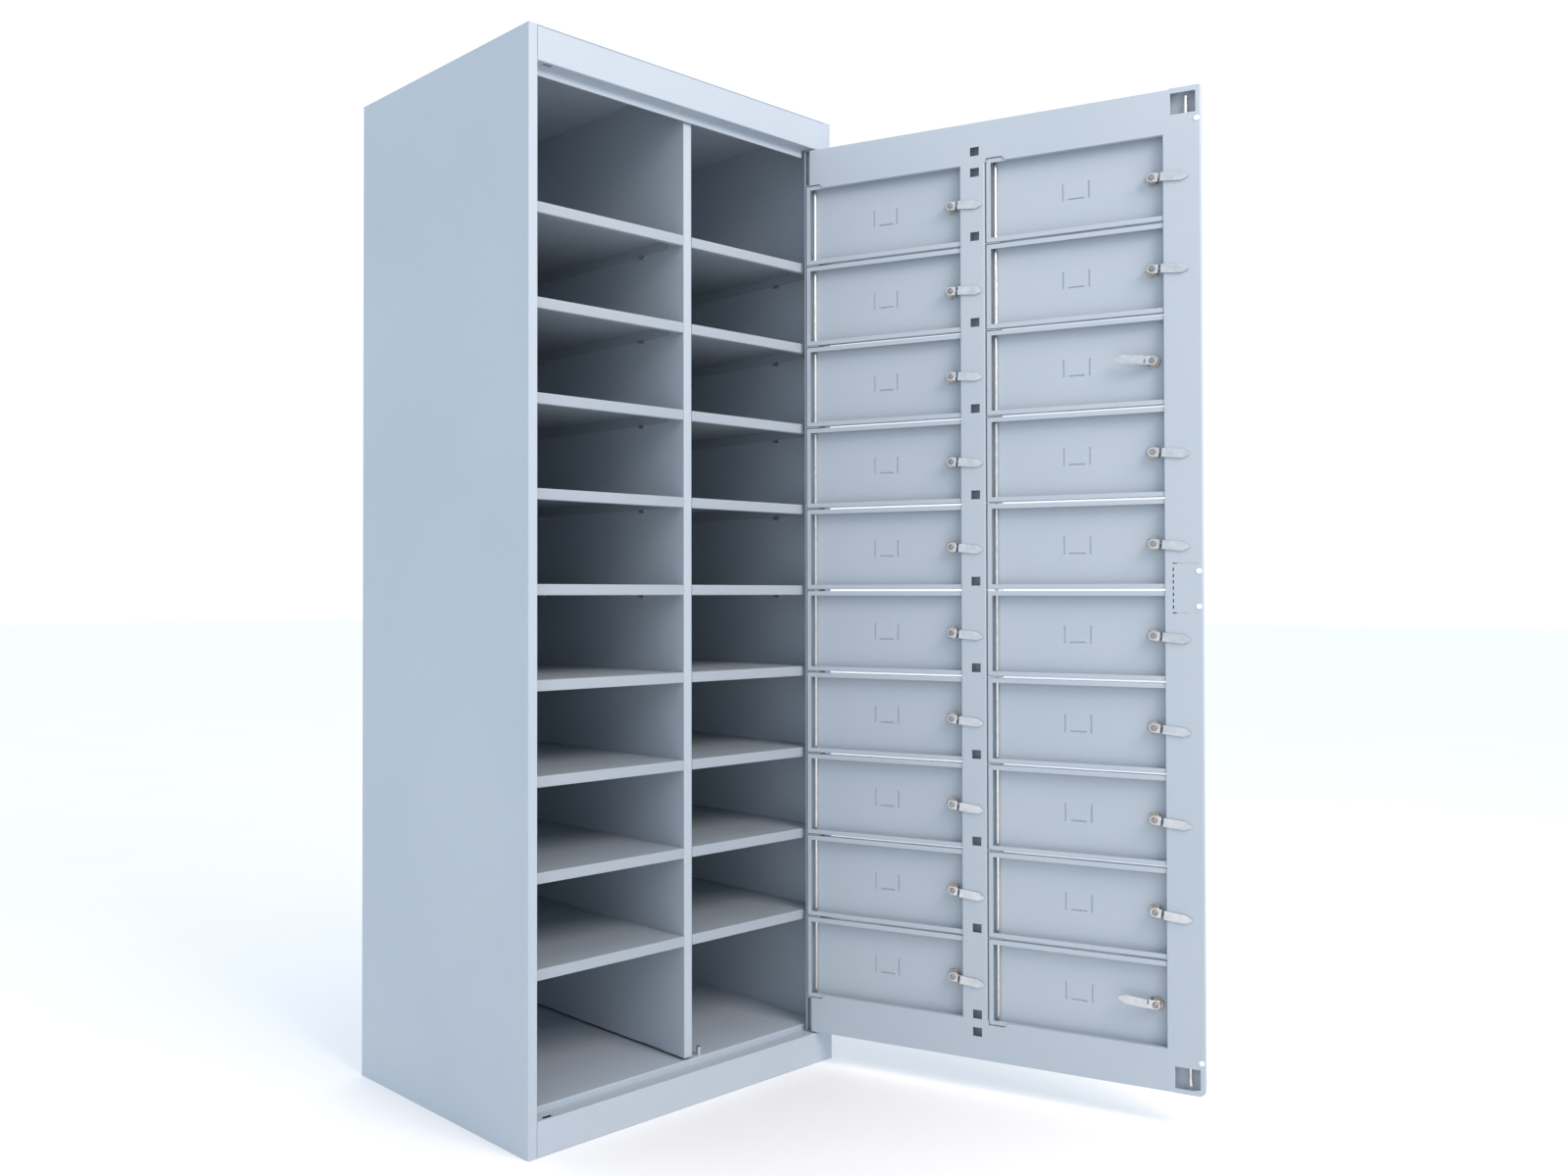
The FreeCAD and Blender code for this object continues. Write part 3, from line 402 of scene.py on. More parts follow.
def doorwayHole(z):
    # box round the slot that a bolt rod enters, on the shut door's line
    x = pivot[0] + hinge["rodInset"] - bolt["u"]
    y = frontY + bolt["v"]
    halfX, halfY = bolt["slot"]
    return (x - halfX, y - halfY, z - mm), (x + halfX, y + halfY, z + 2 * mm)


def headerAndPlinth():
    # sections in side view carried across; the bolt slots are cells left out
    g = carcass["gauge"]
    hole = doorwayHole(headerZ)
    spots = [headerLow[0], panelHigh[0], hole[0][0], hole[1][0],
             headerHigh[0] - carcass["stopEnd"], headerHigh[0]]
    section = fold([(stopY, wallTop), (frontY, wallTop), (frontY, headerZ), (hole[0][1], headerZ),
                    (hole[1][1], headerZ), (stopY - g, headerZ), (stopY - g, headerLow[2]),
                    (stopY + g, headerLow[2])], g)
    strip = headerZ - 0.3 * mm
    holes = [hole, ((-everywhere, -everywhere, -1), (spots[1], everywhere, strip)),
             ((spots[4], -everywhere, -1), (everywhere, everywhere, strip))]
    build("headerRail", [cells(carry(section, sorted(spots), 0), holes)], "cabinet", carcassPaint,
          "header_rail", g)
    ledge = plinthHigh[2]
    hole = doorwayHole(ledge - g)
    spots = [plinthLow[0], hole[0][0], hole[1][0], plinthHigh[0]]
    section = fold([(shelfY, ledge), (hole[1][1], ledge), (hole[0][1], ledge), (frontY, ledge), (frontY, 0),
                    (stopY, 0)], g)
    build("plinthRail", [cells(carry(section, spots, 0), [hole])], "cabinet", carcassPaint,
          "plinth_rail", g)


def floorAndDivider():
    # floor: rear flange, sheet and front step; under it a channel bearer on the ground
    g = carcass["gauge"]
    low, high = floorLow[0], floorHigh[0]
    step = fold([(floorHigh[1], plinthHigh[2] - g), (floorHigh[1], floorHigh[2]), (shelfY, floorHigh[2]),
                 (shelfY, plinthHigh[2] - g)], g)
    under = floorHigh[2] - 2 * g
    bearer = fold([(-30 * mm, under), (-30 * mm, 0), (30 * mm, 0), (30 * mm, under)], g)
    notch = carcass["flange"]
    spots = [low, plinthLow[0], plinthHigh[0], high]
    corner = [((-everywhere, -everywhere, -1), (low + notch - g, shelfY + 0.3 * mm, 1)),
              ((high - notch + g, -everywhere, -1), (everywhere, shelfY + 0.3 * mm, 1))]
    parts = [cells(carry(step, spots, 0), corner), cells(carry(bearer, [low, high], 0))]
    build("floorTray", parts, "cabinet", carcassPaint, "floor_panel", g)
    # divider: two sides and a face in plan, carried upright, on two feet
    gap = floorHigh[2] + 5 * mm
    plan = fold([(dividerLow[0], dividerHigh[1]), (dividerLow[0], shelfY), (dividerHigh[0], shelfY),
                 (dividerHigh[0], dividerHigh[1])], g)
    feet = []
    for start in (shelfY + 60 * mm, dividerHigh[1] - 120 * mm):
        foot = np.array([[(dividerLow[0], start, gap + g), (dividerLow[0], start + 60 * mm, gap + g)],
                         [(dividerHigh[0], start, gap + g), (dividerHigh[0], start + 60 * mm, gap + g)]])
        feet.append(cells(foot))
    build("centreDivider", [cells(carry(plan, [gap, wallTop], 2))] + feet, "cabinet", carcassPaint,
          "centre_divider", g)


shelfShape = {"lip": 20 * mm, "hem": 10 * mm, "flangeStart": 40 * mm, "play": 0.5 * mm}


def shelves():
    # point(s, t): s runs rear flange, plate, lip, hem in side view and t runs flange, plate, flange in
    # front view; the drops of both add up, and cells that would drop twice are left out
    g = carcass["gauge"]
    dividerSides = (dividerLow[0], dividerHigh[0])
    columns = ((panelLow[0] + g, dividerSides[0]), (dividerSides[1], rightHigh[0] - g))
    rear = corners("shelves")[1][1]
    parts = []
    for row in range(1, 10):
        above = doorCorners(f"compartment_door_{row:02d}")
        below = doorCorners(f"compartment_door_{row + 1:02d}")
        top = (above[0][2] + below[1][2]) / 2 + shelfShape["lip"] / 2
        drop = shelfShape["lip"]
        noFlange = shelfY + shelfShape["flangeStart"]
        side = fold([(rear, -drop), (rear, 0), (noFlange + mm, 0), (noFlange, 0), (shelfY, 0),
                     (shelfY, -drop), (shelfY + shelfShape["hem"], -drop)], g)
        for low, high in columns:
            low, high = low + shelfShape["play"], high - shelfShape["play"]
            front = fold([(high, -drop), (high, 0), (low, 0), (low, -drop)], g)[::-1]
            wide = (high + low) / 2 + np.sign(front[:, 0] - (high + low) / 2) * (high - low) / 2
            frontZone = side[:, :1] < noFlange + tiny
            grid = np.empty((len(side), len(front), 3))
            grid[..., 0] = np.where(frontZone, wide, front[:, 0])
            grid[..., 1] = side[:, :1]
            grid[..., 2] = top + side[:, 1:] + front[:, 1]
            sideFolds = (side[1:, 1:] + side[:-1, 1:]) < -tiny
            frontFolds = (front[1:, 1] + front[:-1, 1]) < -tiny
            skip = frontFolds[None, :] & (sideFolds | frontZone[1:] | frontZone[:-1])
            parts.append(cells(grid, skip=skip))
    build("shelfSet", parts, "cabinet", shadedShelfPaint, "shelves", g)


sidePanels()
headerAndPlinth()
floorAndDivider()
shelves()
print("carcass built")

# master door frame, all in u, v, z

door = {"gauge": sheets["carcass"], "thick": 21 * mm, "square": 17 * mm, "notch": (30 * mm, 8 * mm),
        "tab": (29 * mm, 16.5 * mm), "columnPitch": 368.4 * mm, "railEnd": 9 * mm,
        "stileStart": 329 * mm, "stileEnd": 366 * mm, "stopLip": 9.3 * mm, "squareMiddle": 347 * mm,
        "knock": (3 * mm, 45 * mm, 90 * mm, 2 * mm), "dashes": 7, "window": (8.5 * mm, 42 * mm, 39 * mm),
        "chamfer": 7 * mm}

leafCorners = [doorCorners(f"compartment_door_{number:02d}") for number in range(1, 21)]
leafTops = [leafCorners[row][1][2] for row in range(10)]
leafFeet = [leafCorners[row][0][2] for row in range(10)]
gapHeights = [leafTops[0] + 2 * mm] + [(foot + top) / 2 for foot, top in zip(leafFeet, leafTops[1:])]
gapHeights.append(leafFeet[-1] - 2 * mm)
webs = (leafFeet[-1] - 3.5 * mm, leafTops[0] + 3.5 * mm)
lips = (leafFeet[-1] + 7.5 * mm, leafTops[0] - 7.5 * mm)
doorFoot, doorTop, freeEdge = stileLow[2], stileHigh[2], stileHigh[0]
midZ = (doorFoot + doorTop) / 2
lockStart = stileLow[0] + door["stopLip"]


def plate(corner, first, second):
    # flat patch: corner + a * first + b * second
    corner, first, second = (np.array(item, float) for item in (corner, first, second))
    return cells(np.array([[corner, corner + second], [corner + first, corner + first + second]]))


def turned(part):
    # the same faces, looking the other way
    points, faces = part
    return points, [face[::-1] for face in faces]


def tabs(start):
    # one flat tab for each gap, over the rows
    length, depth = door["tab"]
    return [plate((start, door["gauge"], height + mm), (length, 0, 0), (0, depth, 0))
            for height in gapHeights]


def squareHoles(heights):
    # boxes round the square holes of the inner sheet, and the grid lines that they need
    half, u = door["square"] / 2, door["squareMiddle"]
    boxes = [((u - half, door["thick"] - mm, z - half), (u + half, everywhere, z + half)) for z in heights]
    lines = sorted({round(z + side * half, 7) for z in heights for side in (-1, 1)})
    return boxes, lines, (u - half, u + half)


def ringPlate(spot, radius, low, high):
    # flat plate round a hole: point(r, a) = circle(a) + r * (rectangle(a) - circle(a)), at spot height
    angle = np.linspace(0, 2 * np.pi, 48, endpoint=False) + np.pi / 48
    circle = np.column_stack([spot[0] + radius * np.cos(angle), spot[1] + radius * np.sin(angle)])
    reachU = np.where(np.cos(angle) > 0, high[0] - spot[0], spot[0] - low[0])
    reachU = reachU / np.maximum(abs(np.cos(angle)), 1e-6)
    reachV = np.where(np.sin(angle) > 0, high[1] - spot[1], spot[1] - low[1])
    reachV = reachV / np.maximum(abs(np.sin(angle)), 1e-6)
    reach = np.minimum(reachU, reachV)
    outside = np.column_stack([spot[0] + reach * np.cos(angle), spot[1] + reach * np.sin(angle)])
    grid = np.empty((2, len(angle), 3))
    grid[0, :, :2], grid[1, :, :2] = circle, outside
    grid[..., 2] = spot[2]
    return cells(grid, closed=True)


def hingeStile():
    # strip along the hinge edge, and the tabs that hold the long rod
    g = door["gauge"]
    low, high = doorCorners("hinge_stile")
    strip = plate((low[0], 0, doorFoot), (0, 17 * mm, 0), (0, 0, doorTop - doorFoot))
    build("hingeStile", [turned(strip)] + tabs(low[0] + g), "master_door", doorPaint,
          "hinge_stile", g, door=True)


def centreStile():
    # box section in plan carried upright; the inner sheet runs past the box as a stop lip
    g, deep = door["gauge"], door["thick"]
    heights = [doorTop - 74 * mm - 1.4 * door["square"], leafFeet[-1] + door["square"]]
    heights += [gap + door["square"] for gap in gapHeights[1:-1]]
    boxes, lines, sides = squareHoles(heights)
    start, end = door["stileStart"], door["stileEnd"]
    cover = deep - 0.3 * mm
    plan = fold([(start, deep - g), (start, 0), (end, 0), (end, deep), (sides[1], deep), (sides[0], deep),
                 (start - door["stopLip"], deep)], g)
    stations = sorted([webs[0], webs[1], lips[0], lips[1]] + lines)
    boxes += [((-everywhere, cover, -1), (everywhere, everywhere, lips[0])),
              ((-everywhere, cover, lips[1]), (everywhere, everywhere, everywhere))]
    build("centreStile", [cells(carry(plan, stations, 2), boxes)] + tabs(end), "master_door", doorPaint,
          "centre_stile", g, door=True)


def doorRail(web, lip, edge):
    # box section in side view carried across; the covering lip rises at the two notches
    g, deep = door["gauge"], door["thick"]
    up = bool(edge > web)
    squareZ = web + (door["square"] - 3.5 * mm) * (1 if up else -1)
    boxes, lines, sides = squareHoles([squareZ])
    path = [(deep, lip)] + [(deep, z) for z in (lines if up else lines[::-1])]
    path += [(deep, edge), (0, edge), (0, web), (deep - g, web)]
    section = fold(path if up else path[::-1], g)
    length, rise = door["notch"]
    pitch = door["columnPitch"]
    low = -2.2 * mm
    steps = [low, door["railEnd"], length, length + rise, *sides, pitch - 0.05 * mm, pitch, pitch + length,
             pitch + length + rise, lockStart]
    grid = carry(section, steps, 0)
    notch = np.interp(steps, [0, length, length + rise, pitch - 0.05 * mm, pitch, pitch + length,
                              pitch + length + rise], [rise, rise, 0, 0, rise, rise, 0])
    grid[0 if up else -1, :, 2] += notch if up else -notch
    boxes.append(((-1, 0.8 * mm, -1), (door["railEnd"], everywhere, everywhere)))
    end = plate((door["railEnd"], g, min(web, edge) + g), (0, deep - 2 * g, 0),
                (0, 0, abs(edge - web) - 2 * g))
    return [cells(grid, boxes), turned(end)]


def lockStile():
    # closed box section in plan carried upright, with windows, knock-out slots and a cut corner
    g, deep = door["gauge"], door["thick"]
    inset, wide, tall = door["window"]
    near, far, knockTall, slot = door["knock"]
    windowU = (freeEdge - inset - wide, freeEdge - inset)
    knockU = (lockStart + near, lockStart + far)
    plan = fold([(lockStart, deep - g), (lockStart, 0), (freeEdge, 0), (freeEdge, deep), (knockU[1], deep),
                 (windowU[1], deep), (knockU[0] + slot, deep), (knockU[0], deep), (windowU[0], deep),
                 (lockStart, deep), (lockStart - door["stopLip"], deep)], g)
    windows = [(doorTop - inset - tall, doorTop - inset), (doorFoot + inset, doorFoot + inset + tall)]
    knockLow, knockHigh = midZ - knockTall / 2, midZ + knockTall / 2
    bars = [(knockLow, knockLow + slot), (knockHigh, knockHigh + slot)]
    step = knockTall / (door["dashes"] + 0.9)
    dashes = [(knockLow + (dash + 0.75) * step, knockLow + (dash + 1.3) * step)
              for dash in range(door["dashes"])]
    inner = deep - mm
    boxes = [((windowU[0], inner, low), (windowU[1], everywhere, high)) for low, high in windows]
    boxes += [((knockU[0], inner, low), (knockU[1], everywhere, high)) for low, high in bars]
    boxes += [((knockU[0], inner, low), (knockU[0] + slot, everywhere, high)) for low, high in dashes]
    boxes += [((0, inner, -1), (lockStart, everywhere, lips[0])),
              ((0, inner, lips[1]), (lockStart, everywhere, everywhere))]
    stations = [z for pair in windows + bars + dashes for z in pair]
    stations = sorted(stations + [doorFoot, doorFoot + door["chamfer"], doorTop, *lips])
    grid = carry(plan, stations, 2)
    # the cut corner: the lowest points rise near the free edge
    rise = np.clip(plan[:, 0] - (freeEdge - door["chamfer"]), 0, None)
    grid[:, 0, 2] += rise
    body = cells(grid, boxes)
    ends = []
    for z, top in ((doorTop, True), (doorFoot + g, False)):
        limit = freeEdge - g if top else freeEdge - door["chamfer"] - g
        ends.append(ringPlate((bolt["u"], bolt["v"], z), bolt["radius"] + 0.6 * mm, (lockStart, g),
                              (limit, deep - g)))
    build("lockStile", [body] + [turned(end) for end in ends], "master_door", doorPaint,
          "lock_stile", g, door=True)


def steelRods():
    # rods: long bars with filleted ends, and the flat washer under the door
    r = hinge["rodRadius"]
    fillet = 0.8 * mm
    rodLow, rodHigh = doorCorners("hinge_rods")
    across = hinge["rodInset"]
    longRod = lathe(rounded(r, rodLow[2], rodHigh[2], fillet), (across, hinge["rodDepth"], 0),
                    (0, 0, 1), 24)
    shortRod = lathe(rounded(r, webs[0] - 4.5 * mm, webs[1] + 4.5 * mm, fillet),
                     (across + door["columnPitch"], hinge["rodDepth"], 0), (0, 0, 1), 24)
    washer = lathe(rounded(7 * mm, plinthHigh[2] + 0.2 * mm, doorFoot - 0.2 * mm, 0.4 * mm),
                   (across, hinge["rodDepth"], 0), (0, 0, 1), 32)
    build("hingeRods", [longRod, shortRod, washer], "master_door", rodSteel,
          "hinge_rods", door=True)
    for side in ("upper", "lower"):
        low, high = doorCorners(f"{side}_bolt_rod")
        bar = lathe(rounded(bolt["radius"], low[2], high[2], 2.4 * mm, 7), (bolt["u"], bolt["v"], 0),
                    (0, 0, 1), 24)
        build(f"{side}BoltRod", [bar], f"{side}_bolt", rodSteel, f"{side}_bolt_rod",
              door=True)


def buffers():
    # low domes: r(h) of a flattened quarter circle
    heights = (doorTop - 60 * mm, midZ + 32 * mm, midZ - 32 * mm, doorFoot + 60 * mm)
    dome = rounded(5 * mm, 0, 1.4 * mm, 1.1 * mm, 6)[5:]
    parts = [lathe(dome, (freeEdge - 6.5 * mm, door["thick"], height), (0, 1, 0), 32)
             for height in heights]
    build("doorBuffers", parts, "master_door", bufferWhite, "door_buffers", door=True)


handle = {"length": 46 * mm, "width": 12 * mm, "stand": (-17 * mm, -29 * mm), "rose": (20 * mm, 3 * mm),
          "neck": 5 * mm, "hub": (15 * mm, 6 * mm, 12 * mm)}


def lockAndHandle():
    # T bar: super-ellipsoid, each axis = half size * sign(c) * |c|^power
    def power(value, exponent):
        # sign * |value|^exponent
        return np.sign(value) * np.abs(value) ** exponent
    half = handle["width"] / 2
    middle = sum(handle["stand"]) / 2
    rise = np.linspace(-0.49 * np.pi, 0.49 * np.pi, 25)[:, None]
    turn = np.linspace(0, 2 * np.pi, 40, endpoint=False)[None, :]
    grid = np.empty((25, 40, 3))
    grid[..., 0] = bolt["u"] + half * power(np.cos(rise), 0.3) * power(np.cos(turn), 0.6)
    grid[..., 1] = middle + half * power(np.cos(rise), 0.3) * power(np.sin(turn), 0.6)
    grid[..., 2] = midZ + handle["length"] / 2 * power(np.sin(rise), 0.35)
    points, quads = cells(grid[::-1], closed=True)
    last = len(points) - 40
    bar = (points, quads + [list(range(40)), list(range(last, last + 40))[::-1]])
    neck = handle["neck"]
    start, end = middle, handle["hub"][2]
    profile = [(neck + 1.5 * mm, start), (neck + 1.2 * mm, start + 4 * mm), (neck, start + 9 * mm),
               (neck, handle["hub"][1]), (handle["hub"][0] - 0.5 * mm, handle["hub"][1]),
               (handle["hub"][0], handle["hub"][1] + 0.5 * mm), (handle["hub"][0], end - 0.5 * mm),
               (handle["hub"][0] - 0.5 * mm, end)]
    spindle = lathe(profile, (bolt["u"], 0, midZ), (0, 1, 0))
    build("lockHandle", [bar, spindle], "handle", handleChrome, "lock_handle", door=True)
    radius, rose = handle["rose"]
    disc = lathe([(radius, 0), (radius, -0.8 * mm), (radius - 0.6 * mm, -1.9 * mm),
                  (radius - 2.5 * mm, -rose), (neck + 1.2 * mm, -rose),
                  (neck + 0.8 * mm, -rose + mm)], (bolt["u"], 0, midZ), (0, 1, 0), 64)
    low, high = doorCorners("lock_case")
    deep = door["thick"] - door["gauge"] - 0.5 * mm
    plan = fold([(low[0], deep), (low[0], 2 * mm), (high[0], 2 * mm), (high[0], deep),
                 (low[0] + 2 * mm, deep)], mm)
    case = cells(carry(plan, [midZ - 50 * mm, midZ + 50 * mm], 2))
    build("handleRose", [turned(disc)], "master_door", handleChrome, door=True)
    build("gearCase", [case], "master_door", clipZinc, "lock_case", mm, door=True)


hingeStile()
centreStile()
rails = doorRail(webs[1], lips[1], doorTop) + doorRail(webs[0], lips[0], doorFoot)
build("doorRails", rails, "master_door", doorPaint, "door_rails", door["gauge"], door=True)
lockStile()
steelRods()
buffers()
lockAndHandle()
print("master door built")

# compartment doors and their locks

leaf = {"gauge": sheets["leaf"], "depth": 18.5 * mm, "lip": 9 * mm, "stand": 1.8 * mm,
        "label": (50 * mm, 33 * mm, 29 * mm, 3 * mm), "mitre": 0.3 * mm, "bend": 0.3 * mm}


def tray(low, high):
    # point(s, t): s folds lip, wall, face, wall, lip across and t the same upright; their depths add
    # up, and doubly folded corner cells are left out. Walls and lips are stretched to meet at mitres
    g, deep, lip = leaf["gauge"], leaf["depth"], leaf["lip"]
    width, tall, foot, slot = leaf["label"]
    u0, u1, z0, z1 = low[0], high[0], low[2], high[2]
    middle, centre = (u0 + u1) / 2, (z0 + z1) / 2
    bottom = centre - tall / 2
    uSlots = [middle - width / 2, middle - width / 2 + slot, middle - foot / 2, middle + foot / 2,
              middle + width / 2 - slot, middle + width / 2]
    zSlots = [bottom, bottom + slot, bottom + tall]
    acrossPath = [(u0 + lip, deep), (u0, deep), (u0, 0), *[(u, 0) for u in uSlots], (u1, 0), (u1, deep),
                  (u1 - lip, deep)]
    uprightPath = [(z0 + lip, deep), (z0, deep), (z0, 0), *[(z, 0) for z in zSlots], (z1, 0), (z1, deep),
                   (z1 - lip, deep)]
    across = fold(acrossPath, g, leaf["bend"])
    upright = fold(uprightPath, g, leaf["bend"])
    radius = leaf["bend"] + g

    def stretched(own, other, first, last, margin):
        # positions along an edge, stretched so that the end lies as far in as the other fold's inset
        inset = np.minimum(other[:, 0] - other[:, 0].min(), other[:, 0].max() - other[:, 0])
        inset = np.where(other[:, 1] > tiny, np.maximum(inset, margin), radius)
        half, mid = (last - first) / 2, (last + first) / 2
        return mid + (own[None, :, 0] - mid) * ((half - inset) / (half - radius))[:, None]
    u = np.repeat(across[:, :1], len(upright), axis=1)
    z = np.repeat(upright[None, :, 0], len(across), axis=0)
    foldedZ = upright[:, 1] > tiny
    foldedU = across[:, 1] > tiny
    stretchedZ = stretched(upright, across, z0, z1, leaf["mitre"])
    stretchedU = stretched(across, upright, u0, u1, radius + leaf["mitre"]).T
    z = np.where(foldedU[:, None] & ~foldedZ[None, :], stretchedZ, z)
    u = np.where(foldedZ[None, :] & ~foldedU[:, None], stretchedU, u)
    grid = np.empty((len(across), len(upright), 3))
    grid[..., 0], grid[..., 2] = u, z
    grid[..., 1] = across[:, 1:] + upright[None, :, 1]
    cellU = (across[1:, 1] + across[:-1, 1]) > tiny
    cellZ = (upright[1:, 1] + upright[:-1, 1]) > tiny
    holes = [((uSlots[0], -mm, bottom), (uSlots[1], mm, zSlots[2])),
             ((uSlots[4], -mm, bottom), (uSlots[5], mm, zSlots[2])),
             ((uSlots[2], -mm, bottom), (uSlots[3], mm, zSlots[1]))]
    parts = [cells(grid, holes, skip=cellU[:, None] & cellZ[None, :])]
    # raised label lips in front of the slots
    stand = leaf["stand"]
    bend = (g * 0.6, leaf["bend"])
    span = [bottom - g, zSlots[2]]
    left = fold([(uSlots[0] - g, 0), (uSlots[0] - g, -stand), (uSlots[1] + g, -stand)], *bend)
    right = fold([(uSlots[4] - g, -stand), (uSlots[5] + g, -stand), (uSlots[5] + g, 0)], *bend)
    under = fold([(-stand, zSlots[1] + g), (-stand, bottom - g), (0, bottom - g)], *bend)
    parts += [cells(carry(left, span, 2)), cells(carry(right, span, 2)),
              cells(carry(under, [uSlots[2], uSlots[3]], 0))]
    return parts


lock = {"inset": 28.5 * mm, "radius": 9.5 * mm, "flange": 12 * mm, "length": 16.5 * mm, "nut": 13 * mm,
        "nutHeight": 5 * mm, "plug": 5.5 * mm, "screw": 5.2 * mm}


def lockBody(spot):
    # housing: domed flange, barrel and its end; nut: a disc capped by a hexagon, with chamfered corners
    r, flange, nut = lock["radius"], lock["flange"], lock["nut"]
    plug, end = lock["plug"], lock["length"]
    housing = lathe([(plug + 0.2 * mm, -1.6 * mm), (plug + 0.5 * mm, -2.5 * mm),
                     (flange - 3 * mm, -2.5 * mm), (flange - 0.9 * mm, -1.7 * mm),
                     (flange, -0.5 * mm), (flange, 0), (r, 0.1 * mm), (r, end - 0.6 * mm),
                     (r - 0.6 * mm, end), (plug, end)], spot, (0, 1, 0), 48)
    low, high = leaf["gauge"], leaf["gauge"] + lock["nutHeight"]
    nutBody = lathe([(nut * 0.9, low), (nut, low + 0.7 * mm), (nut, high - 0.7 * mm), (nut * 0.9, high)],
                    spot, (0, 1, 0), 72, hexagon(nut))
    return [housing, nutBody]


cam = {"gauge": 2.4 * mm, "width": 16 * mm, "root": 19.2 * mm, "arm": 24.4 * mm, "bend": 11 * mm,
       "ramp": 5 * mm, "taper": 51 * mm, "reach": 63 * mm, "tip": 3 * mm, "tilt": 6.0,
       "turnedBack": (13, 20)}


def camArm(spot, number):
    # point(s, t) = spot + s * arm + t * width(s) * side + v(s) * lock axis; the width is a half circle
    # round the axis, then straight, then tapers with a slight bulge to the blunt tip
    turn = math.radians(180 - cam["tilt"] if number in cam["turnedBack"] else -cam["tilt"])
    arm = np.array([math.cos(turn), 0, math.sin(turn)])
    axis = np.array([0, 1.0, 0])
    side = np.cross(axis, arm)
    half = cam["width"] / 2
    line = fold([(-half, cam["root"]), (cam["bend"], cam["root"]), (cam["bend"] + cam["ramp"], cam["arm"]),
                 (cam["reach"], cam["arm"])], cam["gauge"], 0.4 * mm)
    root = -half * np.cos(np.linspace(0, np.pi / 2, 14))
    point = np.linspace(cam["taper"], cam["reach"], 8)
    s = np.concatenate([root, line[1:-1, 0], point])
    v = np.interp(s, line[:, 0], line[:, 1])
    bulge = np.sqrt(np.clip(half ** 2 - np.clip(s, None, 0) ** 2, 0, None))
    share = np.clip((s - cam["taper"]) / (cam["reach"] - cam["taper"]), 0, 1)
    widths = np.where(s < 0, bulge, half + (cam["tip"] / 2 - half) * share ** 1.25)
    t = np.linspace(-1, 1, 5)
    grid = (np.array(spot) + s[:, None, None] * arm + v[:, None, None] * axis
            + (widths[:, None] * t[None, :])[..., None] * side)
    return cells(grid)


def lockTurning(spot):
    # plug behind the cam with its key slot face outside, and the hexagon screw that holds the cam
    r = lock["plug"]
    plug = lathe([(r - 0.6 * mm, -2.4 * mm), (r, -1.9 * mm), (r, 16.8 * mm), (r - 0.3 * mm, 17 * mm)],
                 spot, (0, 1, 0), 32)
    screw = lock["screw"]
    head = lathe([(screw * 1.15, 19.2 * mm), (screw * 1.15, 19.9 * mm), (screw * 0.98, 20 * mm),
                  (screw, 20.3 * mm), (screw, 22.2 * mm), (screw * 0.86, 23.0 * mm),
                  (screw * 0.5, 23.2 * mm)], spot, (0, 1, 0), 48)
    return [plug, head]


for number in range(1, 21):
    low, high = leafCorners[number - 1]
    tag = f"{number:02d}"
    spot = np.array([high[0] - lock["inset"], 0, (low[2] + high[2]) / 2])
    build(f"compartmentTray{tag}", tray(low, high), f"door_{tag}", leafPaint,
          f"compartment_door_{tag}", leaf["gauge"], door=True, rim=0.2 * mm)
    build(f"lockBody{tag}", lockBody(spot), f"door_{tag}", lockNickel, door=True)
    build(f"lockCam{tag}", [camArm(spot, number)], f"cam_{tag}", camPlate, f"lock_cam_{tag}",
          cam["gauge"], door=True, rim=0.3 * mm)
    build(f"lockScrew{tag}", lockTurning(spot), f"cam_{tag}", screwSteel, door=True)
print("compartment doors and locks built")

# nodes that keep their CAD shape

keptShapes = {"back_panel": carcassPaint, "roof_panel": carcassPaint, "cabinet_fixings": clipZinc}
for name, finish in keptShapes.items():
    materials = frame["nodes"][name].data.materials
    materials.clear()
    materials.append(finish)

# floor, light and camera

studio = {"floorSize": 40.0, "skyColour": (0.87, 0.93, 1.0, 1), "sky": 1.16,
          "lightColour": (1.0, 0.83, 0.73), "lightPlace": (0.0, -3.6, 3.4), "lightAim": (0.0, 0.0, 1.4),
          "lightSize": (2.2, 1.6), "lightPower": 108.0}


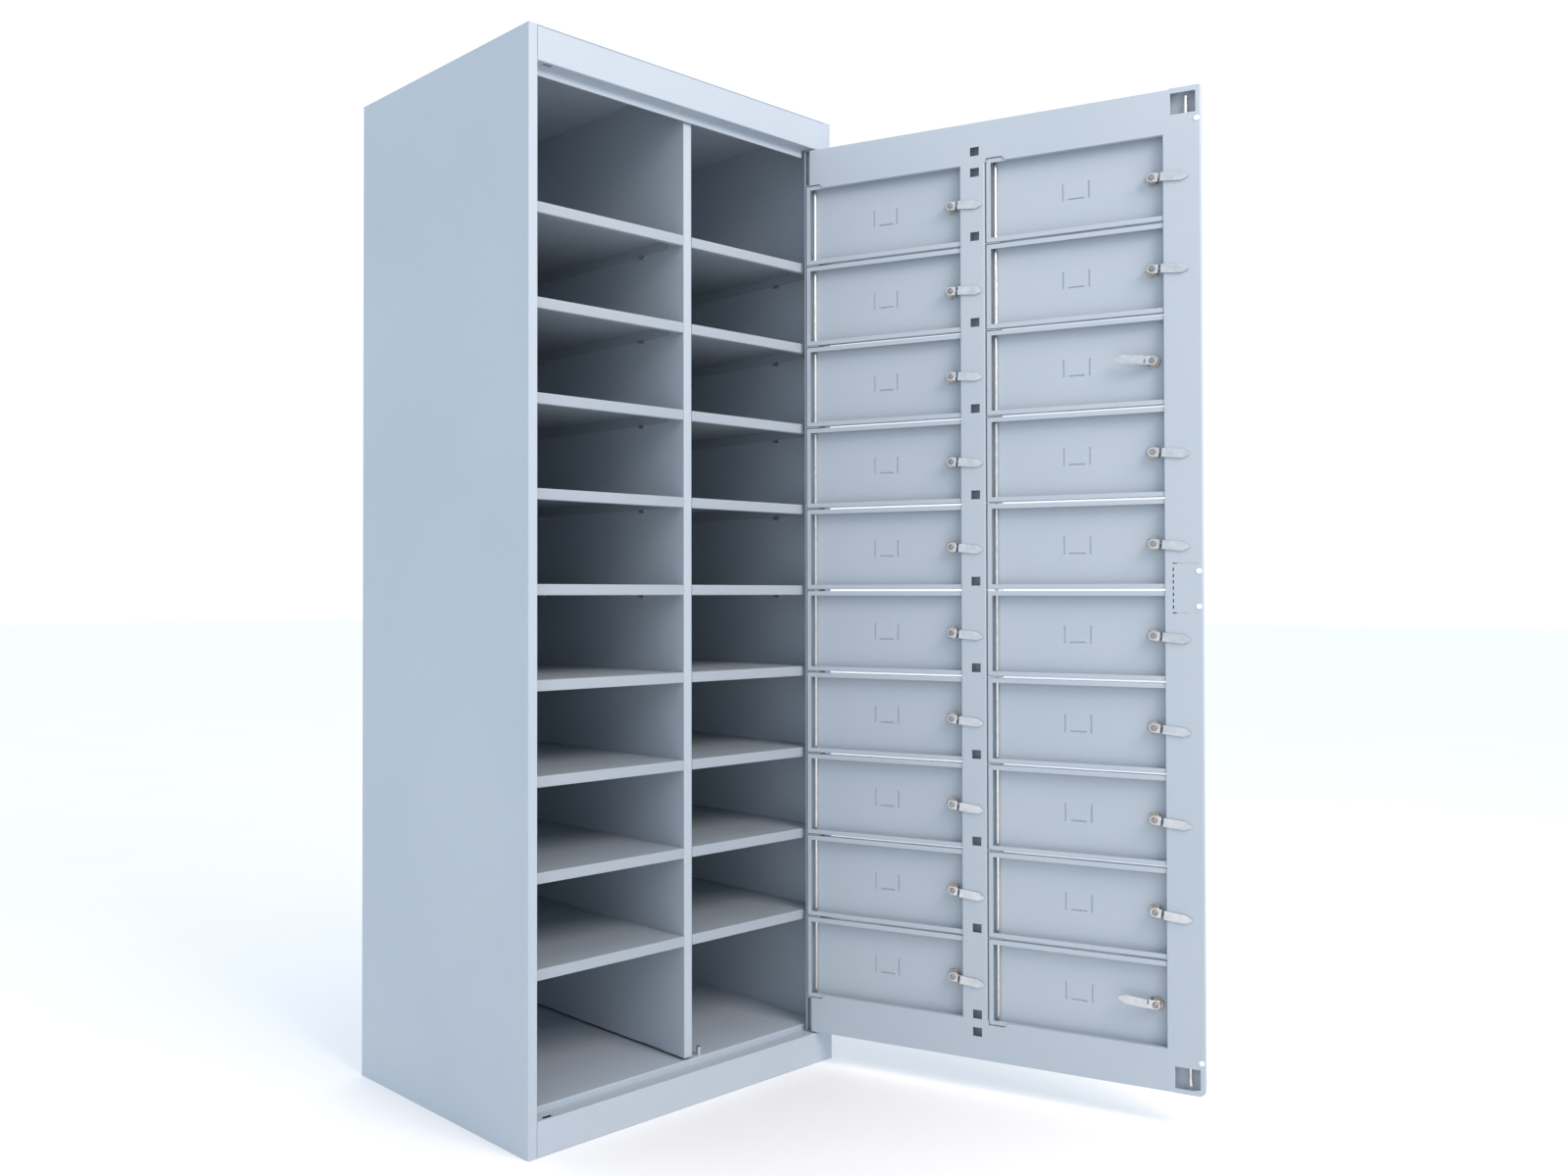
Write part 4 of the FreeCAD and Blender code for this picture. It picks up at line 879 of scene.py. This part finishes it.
def studioFloor():
    # one large flat square on the ground
    mesh = bpy.data.meshes.new("studioFloor")
    half = studio["floorSize"]
    square = [(-half, -half, 0), (half, -half, 0), (half, half, 0), (-half, half, 0)]
    mesh.from_pydata(square, [], [[0, 1, 2, 3]])
    ground = bpy.data.objects.new("studioFloor", mesh)
    bpy.context.scene.collection.objects.link(ground)
    pale = Finish("floorPale")
    cloud = pale.spread(pale.noise(1.5, 3.0), 0.3, 0.7, 0.0, 1.0)
    pale.put(pale.shader, "Base Color", pale.mix(cloud, (0.91, 0.91, 0.91, 1), (0.93, 0.93, 0.93, 1)))
    pale.shader.inputs["Roughness"].default_value = 0.9
    mesh.materials.append(pale.material)


def softLight(name, place, aim, size, power):
    # rectangular light that looks from its place to its aim
    light = bpy.data.lights.new(name, "AREA")
    light.shape = "RECTANGLE"
    light.size, light.size_y = size
    light.energy = power
    light.color = studio["lightColour"]
    lamp = bpy.data.objects.new(name, light)
    bpy.context.scene.collection.objects.link(lamp)
    lamp.location = place
    away = np.array(place) - np.array(aim)
    lamp.rotation_euler = (math.atan2(math.hypot(away[0], away[1]), away[2]), 0,
                           math.atan2(away[1], away[0]) + math.pi / 2)
    lamp.visible_camera = False


def skyLight():
    # even white surroundings
    world = bpy.data.worlds.new("studioSky")
    bpy.context.scene.world = world
    world.use_nodes = True
    back = world.node_tree.nodes["Background"]
    back.inputs["Color"].default_value = studio["skyColour"]
    back.inputs["Strength"].default_value = studio["sky"]


view = {"place": (-1.8202, -2.1018, 0.9674), "yaw": 40.249, "pitch": 0.716, "lens": 31.09,
        "shift": (0.1264, -0.0077)}


def camera():
    # level view with a slight upward pitch and a shifted frame
    lens = bpy.data.cameras.new("camera")
    lens.lens, lens.sensor_width = view["lens"], 36.0
    lens.shift_x, lens.shift_y = view["shift"]
    shot = bpy.data.objects.new("camera", lens)
    bpy.context.scene.collection.objects.link(shot)
    shot.location = view["place"]
    shot.rotation_euler = (math.radians(90 + view["pitch"]), 0, -math.radians(view["yaw"]))
    bpy.context.scene.camera = shot


studioFloor()
skyLight()
softLight("frontLight", studio["lightPlace"], studio["lightAim"], studio["lightSize"],
          studio["lightPower"])
camera()
bpy.context.scene.view_settings.view_transform = "Standard"
print("floor, lights and camera set")

bpy.context.view_layer.update()
